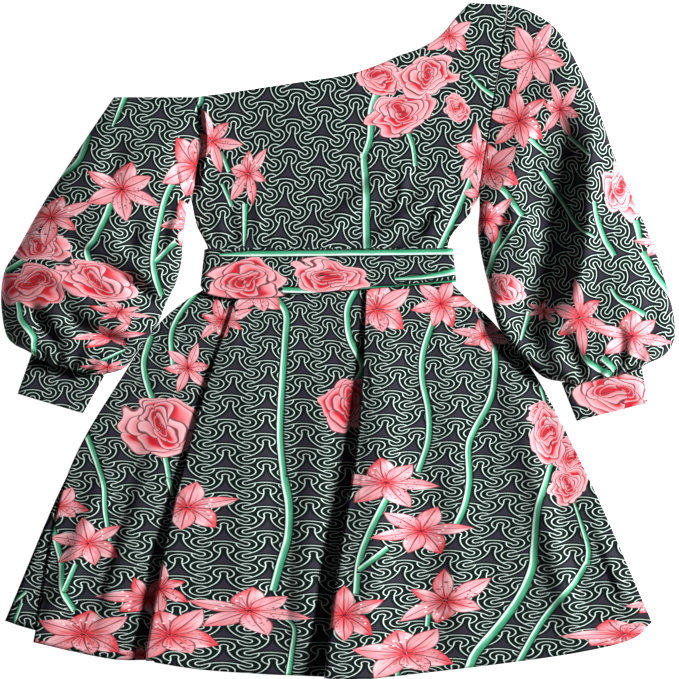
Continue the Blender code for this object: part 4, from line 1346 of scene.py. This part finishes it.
# %% Flowers of the front skirt
FLOWERS |= {
    "skirt_left": [
        ("star", 188, 368, 30, 28, 20, 0.4), ("rose", 160, 427, 40, 32, 3, 0.5),
        ("side", 222, 320, 32, 26, 200, 0.6), ("open", 89, 543, 42, 30, 40, 0.5),
        ("broad", 58, 506, 38, 21, 30, 0.5), ("broad", 84, 634, 56, 30, 0, 0.8),
        ("side", 160, 600, 54, 34, 150, 0.8), ("bell", 154, 655, 34, 13, 90, 0.9),
        ("bell", 38, 644, 18, 9, 90, 0.6),
    ],
    "skirt_middle": [
        ("side", 224, 320, 34, 25, 0, 0.6), ("broad", 260, 294, 32, 26, 0, 0.4),
        ("open", 188, 507, 56, 30, 20, 0.5), ("broad", 170, 634, 62, 31, 20, 0.8),
        ("open", 249, 610, 68, 28, 160, 0.4), ("side", 160, 588, 42, 28, 60, 0.9),
        ("rose", 350, 404, 30, 30, 4, 0.8),
    ],
    "skirt_right": [
        ("broad", 377, 309, 42, 34, 0, 0.5), ("open", 441, 304, 32, 31, 10, 0.8),
        ("side", 484, 336, 34, 27, 140, 0.3), ("broad", 474, 300, 16, 14, 60, 0.3),
        ("open", 386, 482, 56, 30, 170, 0.5), ("open", 421, 531, 54, 30, 10, 0.6),
        ("side", 446, 600, 60, 36, 190, 0.5), ("broad", 406, 653, 60, 30, 20, 0.6),
        ("open", 344, 614, 46, 34, 30, 0.9), ("rose", 548, 434, 20, 28, 5, 0.6),
        ("rose", 568, 486, 22, 18, 6, 0.5), ("rose", 573, 458, 19, 22, 7, 0.6),
        ("rose", 540, 413, 15, 11, 8, 0.5), ("broad", 625, 634, 68, 18, 150, 0.6),
        ("side", 652, 604, 28, 19, 160, 0.6),
    ],
}

# %% Flowers of the back panels and of the walls on the table
FLOWERS |= {
    "bodice_back": [
        ("open", 262, 150, 34, 36, 30, 0.5), ("rose", 352, 128, 34, 24, 2, 0.5),
        ("broad", 425, 190, 32, 34, 200, 0.6), ("side", 300, 215, 30, 30, 120, 0.4),
        ("star", 440, 90, 28, 30, 10, 0.5),
    ],
    "skirt_back": [
        ("rose", 250, 380, 40, 32, 1, 0.5), ("open", 160, 480, 50, 30, 60, 0.5),
        ("broad", 330, 500, 54, 32, 200, 0.6), ("side", 450, 400, 40, 32, 30, 0.4),
        ("open", 520, 540, 54, 30, 140, 0.5), ("rose", 110, 600, 44, 30, 5, 0.6),
        ("star", 250, 610, 50, 32, 20, 0.5), ("broad", 420, 610, 56, 32, 90, 0.6),
        ("rose", 580, 470, 26, 26, 6, 0.5),
    ],
    "sleeve_off_shoulder_under": [
        ("open", 130, 170, 40, 34, 20, 0.5), ("rose", 80, 230, 36, 24, 4, 0.5),
        ("broad", 120, 300, 42, 28, 200, 0.6),
    ],
    "sleeve_shoulder_under": [
        ("open", 540, 90, 36, 36, 60, 0.5), ("broad", 560, 180, 38, 34, 10, 0.6),
        ("rose", 600, 260, 34, 26, 7, 0.5), ("star", 560, 330, 38, 32, 120, 0.5),
    ],
}
print("flowers:", sum(len(rows) for rows in FLOWERS.values()))

# %% Stems of the bodice, the sleeves, the belt and the back panels
# Half width at the start and at the end, then the points of the stem
STEMS = {
    "sleeve_off_shoulder": [
        (2.6, 0.9, [(126, 95), (120, 110), (113, 127)]), (3.2, 2.5, [(89, 135), (80, 160), (63, 176)]),
        (2.9, 2.5, [(114, 200), (104, 224), (96, 240), (88, 252), (94, 270)]),
        (2.5, 2.5, [(180, 172), (167, 196), (160, 222), (155, 248), (155, 272), (162, 295)]),
        (2.5, 2.0, [(176, 243), (156, 262)]), (2.1, 2.5, [(30, 258), (8, 271)]),
        (2.5, 2.5, [(20, 300), (22, 318), (36, 340), (34, 360)]),
        (2.5, 2.9, [(2, 318), (6, 334), (16, 348)]), (1.0, 1.3, [(126, 350), (100, 362)]),
        (2.0, 1.3, [(202, 94), (196, 112)]),
    ],
    "bodice_front": [
        (3.2, 2.6, [(377, 92), (371, 112), (370, 138), (363, 158)]),
        (2.9, 3.4, [(363, 154), (364, 165), (366, 190), (366, 220), (367, 250)]),
        (2.1, 1.8, [(407, 130), (413, 148), (415, 166)]), (1.3, 2.1, [(222, 184), (232, 206)]),
        (2.5, 0.9, [(245, 204), (244, 246)]), (2.3, 2.5, [(475, 168), (460, 204), (439, 249)]),
        (1.0, 2.3, [(470, 75), (482, 88), (498, 99)]), (1.2, 2.0, [(221, 152), (229, 172)]),
        (2.5, 2.0, [(202, 94), (200, 104), (193, 110)]),
    ],
    "sleeve_shoulder": [
        (2.6, 1.0, [(529, 139), (547, 155)]), (2.5, 1.0, [(568, 136), (588, 156)]),
        (2.6, 1.2, [(541, 172), (558, 196), (572, 220), (592, 238)]),
        (2.0, 2.6, [(592, 203), (600, 234), (612, 256)]), (2.9, 2.5, [(486, 179), (504, 192), (521, 216)]),
        (1.0, 0.9, [(520, 217), (508, 236), (494, 256)]), (2.6, 2.1, [(499, 232), (494, 252), (487, 276)]),
        (2.5, 2.5, [(634, 221), (638, 240)]), (3.2, 2.9, [(641, 253), (654, 276), (671, 299)]),
        (1.3, 2.5, [(609, 289), (618, 301), (642, 315)]),
        (2.0, 3.2, [(578, 336), (582, 356), (594, 367), (611, 375)]), (2.9, 2.5, [(601, 358), (613, 370)]),
        (2.6, 1.2, [(529, 312), (520, 340)]),
    ],
    "belt": [
        (0.9, 2.5, [(220, 255), (250, 254)]), (2.5, 2.5, [(250, 254), (360, 253), (452, 252)]),
        (2.5, 2.3, [(283, 290), (322, 291)]), (2.1, 2.8, [(338, 290), (400, 288), (456, 283)]),
        (1.0, 2.9, [(395, 279), (425, 277), (456, 271)]),
    ],
    "skirt_back": [
        (2.4, 2.6, [(255, 408), (262, 450), (250, 520), (252, 590)]),
        (2.4, 2.8, [(455, 428), (470, 480), (450, 560)]), (2.4, 2.8, [(340, 110), (336, 330), (330, 480)]),
        (2.6, 2.8, [(520, 566), (500, 610), (492, 660)]), (1.4, 1.2, [(14, 602), (26, 592)]),
        (1.4, 1.2, [(13, 625), (23, 600)]), (2.4, 2.6, [(160, 506), (140, 550), (120, 580)]),
    ],
    "bodice_back": [
        (2.4, 2.6, [(262, 182), (270, 215), (268, 248)]), (2.4, 2.6, [(350, 150), (356, 200), (350, 248)]),
    ],
}

# %% Stems of the front skirt
STEMS |= {
    "skirt_left": [
        (2.0, 2.0, [(201, 288), (180, 314), (171, 336), (173, 366)]),
        (2.6, 2.5, [(151, 336), (144, 360), (146, 380), (155, 406)]), (2.3, 2.1, [(164, 450), (169, 478)]),
        (2.0, 2.0, [(168, 478), (173, 495)]),
        (2.5, 1.8, [(87, 436), (96, 460), (104, 486), (105, 510), (110, 540)]),
        (2.8, 2.6, [(48, 514), (57, 544), (62, 564), (63, 590), (74, 610)]),
        (2.1, 2.1, [(76, 564), (64, 591)]),
    ],
    "skirt_middle": [
        (2.8, 2.9, [(276, 298), (286, 314), (285, 340), (281, 400), (280, 440), (284, 480)]),
        (3.7, 3.4, [(284, 478), (289, 506), (288, 536), (280, 564), (273, 590)]),
        (1.3, 2.6, [(282, 616), (294, 627), (292, 650), (288, 677)]),
        (2.6, 2.6, [(357, 288), (348, 306), (347, 320), (350, 340), (362, 366), (366, 384)]),
    ],
    "skirt_right": [
        (2.6, 2.5, [(434, 318), (423, 352), (422, 380), (428, 410), (428, 440), (418, 471)]),
        (2.6, 2.8, [(494, 345), (495, 370), (490, 400), (474, 430), (468, 448), (469, 480), (464, 506),
                    (453, 530)]),
        (2.8, 2.9, [(388, 494), (370, 530), (359, 560), (356, 592)]), (2.3, 2.5, [(387, 547), (359, 569)]),
        (2.0, 3.4, [(555, 452), (545, 482), (537, 510), (534, 550)]),
        (3.6, 4.0, [(534, 548), (532, 568), (520, 596), (500, 624), (476, 652), (468, 670)]),
        (0.8, 2.5, [(573, 500), (581, 524), (588, 548), (587, 564)]),
        (2.5, 2.8, [(588, 560), (576, 580), (560, 598), (540, 624), (516, 666)]),
        (1.3, 1.0, [(540, 386), (547, 410)]), (1.5, 1.0, [(330, 632), (327, 660)]),
        (2.1, 2.1, [(398, 655), (397, 676)]), (2.5, 2.1, [(430, 600), (427, 626)]),
    ],
}
print("stems:", sum(len(rows) for rows in STEMS.values()))


# %% Values and places on the cloth
def add_corner_values(mesh, name, values):
    """An attribute with three numbers for each face corner."""
    attribute = mesh.attributes.new(name, 'FLOAT_VECTOR', 'CORNER')
    attribute.data.foreach_set("vector", np.ascontiguousarray(values, np.float32).reshape(-1))


def on_cloth(piece, faces, points):
    """Places on the flat cloth of points seen from above: the nearest face's own place, moved by the
    rest."""
    points = np.atleast_2d(np.array(points, float))
    seen, flat = piece["seen"][faces].mean(axis=1), piece["flat"][faces].mean(axis=1)
    near = [np.argmin(np.abs(seen - point).sum(axis=1)) for point in points]
    return flat[near] + points - seen[near]


# %% Print the flowers
FLOWER_REACH = 1.06        # a petal or ring never reaches past this
ROSE_CODE = 10.0           # codes from here are roses, and a lower one is the lily's row in the table
ROSE_TILTS = (0, 12, -8, 20, -14, 6, -10, 30, -4, 8)     # slant of each rose's number on the cloth
flower_kinds = list(LILIES)


def turned(place, degrees):
    """Places turned back by an angle, so that a shape drawn straight comes out turned by it."""
    c, s = np.cos(np.radians(degrees)), np.sin(np.radians(degrees))
    return np.stack([place[..., 0] * c + place[..., 1] * s, place[..., 1] * c - place[..., 0] * s], axis=-1)


def print_flowers(piece, faces, rows, places, codes):
    """Gives each face the two topmost flowers over it: the place of its corners, turned and scaled to the
    flower, with the flower's code."""
    corners = piece["flat"][faces]
    for kind, x, y, wide, tall, turn, depth in rows:
        local = corners - on_cloth(piece, faces, (x, y))
        if kind == "rose":
            local = turned(local, ROSE_TILTS[turn]) / (wide, -tall)
            code = ROSE_CODE + turn + depth
        else:
            local = turned(local / (wide, -tall), turn)
            code = flower_kinds.index(kind) + depth
        reached = np.hypot(local[..., 0], local[..., 1]).min(axis=1) < FLOWER_REACH
        for layer in (0, 1):
            free = reached & (codes[layer][faces] < 0)
            places[layer][faces[free]], codes[layer][faces[free]] = local[free], code
            reached &= ~free


# %% Print the stems
FAR = 12.0                 # a place outside every flower, and squares beyond every stem
STEM_PAST = 60.0           # about a stem's length, to weigh places past its end against those beside it
STEM_STEPS = 6             # points of a stem's line from one given point to the next


def print_stems(piece, faces, rows, stem):
    """Gives each face its nearest stem: the distance of its corners from the stem's line in squares, the
    place along it and its half width there."""
    nearest = np.full(len(faces), FAR)
    for start, end, points in rows:
        line = cubic(on_cloth(piece, faces, points), STEM_STEPS)
        corners = piece["flat"][faces]
        near = np.abs(corners[:, 0] - line.mean(axis=0)).max(axis=1) < np.ptp(line, axis=0).max() + FAR
        distance, along = along_line(corners[near], line)
        past = np.maximum(np.maximum(-along, along - 1), 0) * STEM_PAST
        far = (np.abs(distance) + past).min(axis=1)
        better = far < nearest[near]
        chosen = np.flatnonzero(near)[better]
        nearest[chosen] = far[better]
        half = start + (end - start) * np.clip(along[better], 0, 1)
        stem[faces[chosen]] = np.stack([distance[better], along[better], half], axis=-1)


# %% Print them on the pieces
for name, piece in cloth_pieces.items():
    count = len(piece["faces"])
    places, codes = np.full((2, count, 4, 2), FAR), np.full((2, count), -1.0)
    stem = np.full((count, 4, 3), FAR)
    for area, inside in piece["areas"].items():
        faces = np.flatnonzero(inside)
        print_flowers(piece, faces, FLOWERS.get(area, []), places, codes)
        print_stems(piece, faces, STEMS.get(area, []), stem)
    for code, local, title in zip(codes, places, ("flower_top", "flower_under")):
        code = np.broadcast_to(code[:, None, None] % ROSE_CODE, (count, 4, 1))
        add_corner_values(piece["object"].data, title, np.concatenate([local, code], axis=-1))
    add_corner_values(piece["object"].data, "stem", stem)
    piece["kinds"] = np.stack([np.where(c < 0, 0, np.where(c < ROSE_CODE, 1, 2)) for c in codes], axis=-1)
    one, two = (int((code >= 0).sum()) for code in codes)
    print(name, "faces with a flower", one, "and with two", two)

# %% [markdown]
# ## The cotton
#
# Printed cotton is matt, with a slight sheen, a fine plain weave and small slubs. The print is dyed in, so
# it shows on both faces of the cloth. Faces without a flower need only the ground and the stems: the
# flowers' nodes take time, so each combination of flowers has its own material, and a face uses the one it
# needs.

# %% Colours of the ground and the stems
FIGURE, BETWEEN, EDGING = colour(46, 44, 54), colour(20, 34, 34), colour(0, 16, 11)
LINE_MINT, STEM_GREEN = colour(218, 238, 231), colour(46, 146, 104)
STEM_LIGHT, STEM_RIM = colour(108, 196, 158), colour(222, 248, 236)
STEM_EDGE = colour(4, 20, 13)
SLUB = colour(110, 110, 110)
print("the darkest colour reflects", round(max(EDGING[:3]), 4), "of the light")


# %% Draw a stem
def draw_stem():
    """Across a stem from -1 to 1 the green turns light, with a pale rim on one side; streaks run along
    it."""
    tree, (distance, along, half) = new_group("stem", ["Distance", "Along", "Half width"],
                                              {"Inside": "Float", "Edging": "Float", "Colour": "Color"})
    across = distance / half
    streak = noise(tree, (across * 2.6, along * 9.0, half)) - 0.5
    tone = mix((across + streak * 0.9).step(-0.75, 0.35), STEM_GREEN, STEM_LIGHT)
    tone = mix((across + streak * 0.4).step(0.20, 0.50), tone, STEM_RIM)
    beside = abs(distance) - half
    between = along.step(-0.01, 0.0) * along.step(1.01, 1.0)
    close_group(tree, Inside=beside.step(0.3, -0.3) * between, Edging=beside.step(2.4, 1.2) * between,
                Colour=tone)
    return tree


stem_group = draw_stem()

# %% Draw the weave
THREAD = 0.00045           # metres from one thread to the next


def draw_weave():
    """Height of a plain weave: the product of two sine waves at right angles, broken up by noise."""
    tree, _ = new_group("plain_weave", [], {"Height": "Float", "Slub": "Float"})
    place = tree.nodes.new("ShaderNodeTexCoord")
    parts = tree.nodes.new("ShaderNodeSeparateXYZ")
    tree.links.new(place.outputs["Object"], parts.inputs[0])
    x, y, z = [Field(tree, socket) for socket in parts.outputs]
    slub = noise(tree, (x * 160.0, y * 900.0, z * 160.0), 1.0)
    wave = (x * (np.pi / THREAD)).math('SINE') * ((y + z) * (np.pi / THREAD)).math('SINE')
    close_group(tree, Height=wave * 0.5 + slub, Slub=slub)
    return tree


weave_group = draw_weave()


# %% Read an attribute
def read_vector(tree, name):
    """The three numbers of an attribute as fields."""
    node = tree.nodes.new("ShaderNodeAttribute")
    node.attribute_name = name
    parts = tree.nodes.new("ShaderNodeSeparateXYZ")
    tree.links.new(node.outputs["Vector"], parts.inputs[0])
    return [Field(tree, socket) for socket in parts.outputs]


# %% Finish of the cotton
ROUGHNESS, SPECULAR, SHEEN, SHEEN_ROUGHNESS = 0.66, 0.08, 0.03, 0.5
BUMP, BUMP_HEIGHT = 0.25, 0.0002       # strength, and height in metres


def finish_cotton(tree, shader, height, slub):
    """Matt cloth with a slight sheen: slubs make it a little rougher, and the weave is a bump."""
    plug(tree, slub * 0.2 + ROUGHNESS, shader.inputs["Roughness"])
    shader.inputs["Specular IOR Level"].default_value = SPECULAR
    shader.inputs["Sheen Weight"].default_value = SHEEN
    shader.inputs["Sheen Roughness"].default_value = SHEEN_ROUGHNESS
    bump = tree.nodes.new("ShaderNodeBump")
    bump.inputs["Strength"].default_value = BUMP
    bump.inputs["Distance"].default_value = BUMP_HEIGHT
    tree.links.new(height.socket, bump.inputs["Height"])
    tree.links.new(bump.outputs["Normal"], shader.inputs["Normal"])


# %% Make a cotton
FLOWER_GROUPS = {1: ("lily", lily_group), 2: ("rose", rose_group)}
LINE_COVER, EDGE_COVER, SLUB_COVER = 0.92, 0.85, 0.12    # how much each hides of the colour under it


def make_cotton(name, layers):
    """A cotton material: the ground, the stem over it, then the lower and the upper flower."""
    material = bpy.data.materials.new(name)
    material.use_nodes = True
    tree = material.node_tree
    shader = tree.nodes["Principled BSDF"]
    along, across, _ = read_vector(tree, "print")
    line, figure, edging = use_group(tree, ground_group, along, across)
    height, slub = use_group(tree, weave_group)
    tone = mix(figure, BETWEEN, FIGURE)
    tone = mix(edging, tone, EDGING)
    tone = mix(line * LINE_COVER, tone, LINE_MINT)
    inside, halo, stem_tone = use_group(tree, stem_group, *read_vector(tree, "stem"))
    tone = mix(halo * EDGE_COVER, tone, STEM_EDGE)
    tone = mix(inside, tone, stem_tone)
    for title, kind in (("flower_under", layers[1]), ("flower_top", layers[0])):
        if kind:
            inside, flower_tone = use_group(tree, FLOWER_GROUPS[kind][1], *read_vector(tree, title))
            tone = mix(inside, tone, flower_tone)
    tone = mix(abs(slub - 0.5) * SLUB_COVER, tone, SLUB)
    tree.links.new(tone.socket, shader.inputs["Base Color"])
    finish_cotton(tree, shader, height, slub)
    return material


# %% Give each face its cotton
cottons = {}
for name, piece in cloth_pieces.items():
    slot = "belt_print" if name == "belt" else "wax_print"
    used, index = np.unique(piece["kinds"] @ (3, 1), return_inverse=True)
    for code in used:
        top, under = divmod(int(code), 3)
        title = "_".join([slot] + [FLOWER_GROUPS[kind][0] for kind in (top, under) if kind])
        if title not in cottons:
            cottons[title] = make_cotton(title, (top, under))
        piece["object"].data.materials.append(cottons[title])
    piece["object"].data.polygons.foreach_set("material_index", index.astype(np.int32).reshape(-1))
print("materials:", ", ".join(cottons))

# %% [markdown]
# ## Floor, light and camera
#
# The dress lies on a white light table, which hides its shadow, as in a picture for a catalogue. A soft
# light from the right gives the folds their deep shadows, and a weak one from above fills them a little.
# The camera looks straight down through a long lens, so that the dress is drawn almost without perspective.

# %% The white table
FLOOR = 6                  # metres from the middle to each side
TABLE_WHITE = 0.9
scene = bpy.context.scene
floor_mesh = bpy.data.meshes.new("floor")
floor_mesh.from_pydata([(-FLOOR, -FLOOR, 0), (FLOOR, -FLOOR, 0), (FLOOR, FLOOR, 0), (-FLOOR, FLOOR, 0)],
                       [], [(0, 1, 2, 3)])
floor = bpy.data.objects.new("floor", floor_mesh)
scene.collection.objects.link(floor)
paint = bpy.data.materials.new("white_table")
paint.use_nodes = True
table = paint.node_tree.nodes["Principled BSDF"].inputs
table["Base Color"].default_value = (TABLE_WHITE, TABLE_WHITE, TABLE_WHITE, 1)
table["Roughness"].default_value = 0.9
table["Emission Color"].default_value = (1, 1, 1, 1)
table["Emission Strength"].default_value = 1.0
floor_mesh.materials.append(paint)
print("the white table is", 2 * FLOOR, "metres wide")


# %% Light
def area_light(name, place, size, power):
    """A square soft light that points at the middle of the dress, with its place and size in metres and its
    power in watts."""
    lamp = bpy.data.lights.new(name, 'AREA')
    lamp.size = size
    lamp.energy = power
    light = bpy.data.objects.new(name, lamp)
    light.location = place
    light.rotation_mode = 'QUATERNION'
    light.rotation_quaternion = light.location.to_track_quat('Z', 'Y')
    scene.collection.objects.link(light)
    print(name, "light", round(light.location.length, 2), "metres away")


area_light("key", (3.74, 0.93, 2.32), 0.8, 450)
area_light("fill", (-0.6, 0.8, 3.0), 3.0, 3.5)
world = bpy.data.worlds.new("studio")
world.use_nodes = True
world.node_tree.nodes["Background"].inputs["Color"].default_value = (1, 1, 1, 1)
world.node_tree.nodes["Background"].inputs["Strength"].default_value = 0.02
scene.world = world
scene.view_settings.view_transform = 'Standard'

# %% Camera
LENS = 200.0               # millimetres
FRAME_WIDTH = SHEET_SIZE * SQUARE * MM
camera_data = bpy.data.cameras.new("overhead")
camera_data.lens = LENS
camera = bpy.data.objects.new("overhead", camera_data)
sheet_up = (SHEET_MIDDLE[1] - SHEET_SIZE / 2) * SQUARE * MM
camera.location = (0, sheet_up, FRAME_WIDTH * LENS / camera_data.sensor_width)
scene.collection.objects.link(camera)
scene.camera = camera
print("the camera is", round(camera.location.z, 2), "metres up and sees", round(FRAME_WIDTH, 3), "metres")

# %% [markdown]
# ## The cut of each piece
#
# The cut of each piece is listed, with the size that it was cut to before it was laid on the table. Its
# cloth is measured to compare: gathers and air make it larger than it looks from above.

# %% The area of a piece
def cloth_area(name):
    """Area of a piece's middle surface: half the cross product of the two diagonals of each quad, added
    up."""
    mesh = cloth_pieces[name]["object"].data
    points = np.empty(len(mesh.vertices) * 3, np.float32)
    mesh.vertices.foreach_get("co", points)
    corner = points.reshape(-1, 3)[cloth_pieces[name]["faces"]]
    cross = np.cross(corner[:, 2] - corner[:, 0], corner[:, 3] - corner[:, 1])
    return float(np.linalg.norm(cross, axis=1).sum() / 2)


print("cloth in the belt:", round(cloth_area("belt"), 4), "square metres")

# %% The cut of each piece
# Width and length of the cut, its area where it isn't a rectangle, and what it lies on
CUTS = {
    "bodice_back": ((0.46, 0.40), 0.124, "floor"),
    "bodice_front": ((0.46, 0.40), 0.124, "bodice_back_cloth"),
    "skirt_back": ((0.94, 0.58), 0.389, "floor"),
    "skirt_front": ((1.00, 0.60), 0.437, "skirt_back_cloth"),
    "sleeve_off_shoulder": ((0.54, 0.42), 0.170, "floor"),
    "sleeve_shoulder": ((0.54, 0.56), 0.217, "floor"),
    "cuff_off_shoulder": ((0.23, 0.06), None, "floor"),
    "cuff_shoulder": ((0.23, 0.06), None, "floor"),
    "belt": ((0.73, 0.065), None, "floor"),
}
for name, (flat, area, under) in CUTS.items():
    print(name, "cut", flat, "cloth", round(cloth_area(name), 4), "square metres")
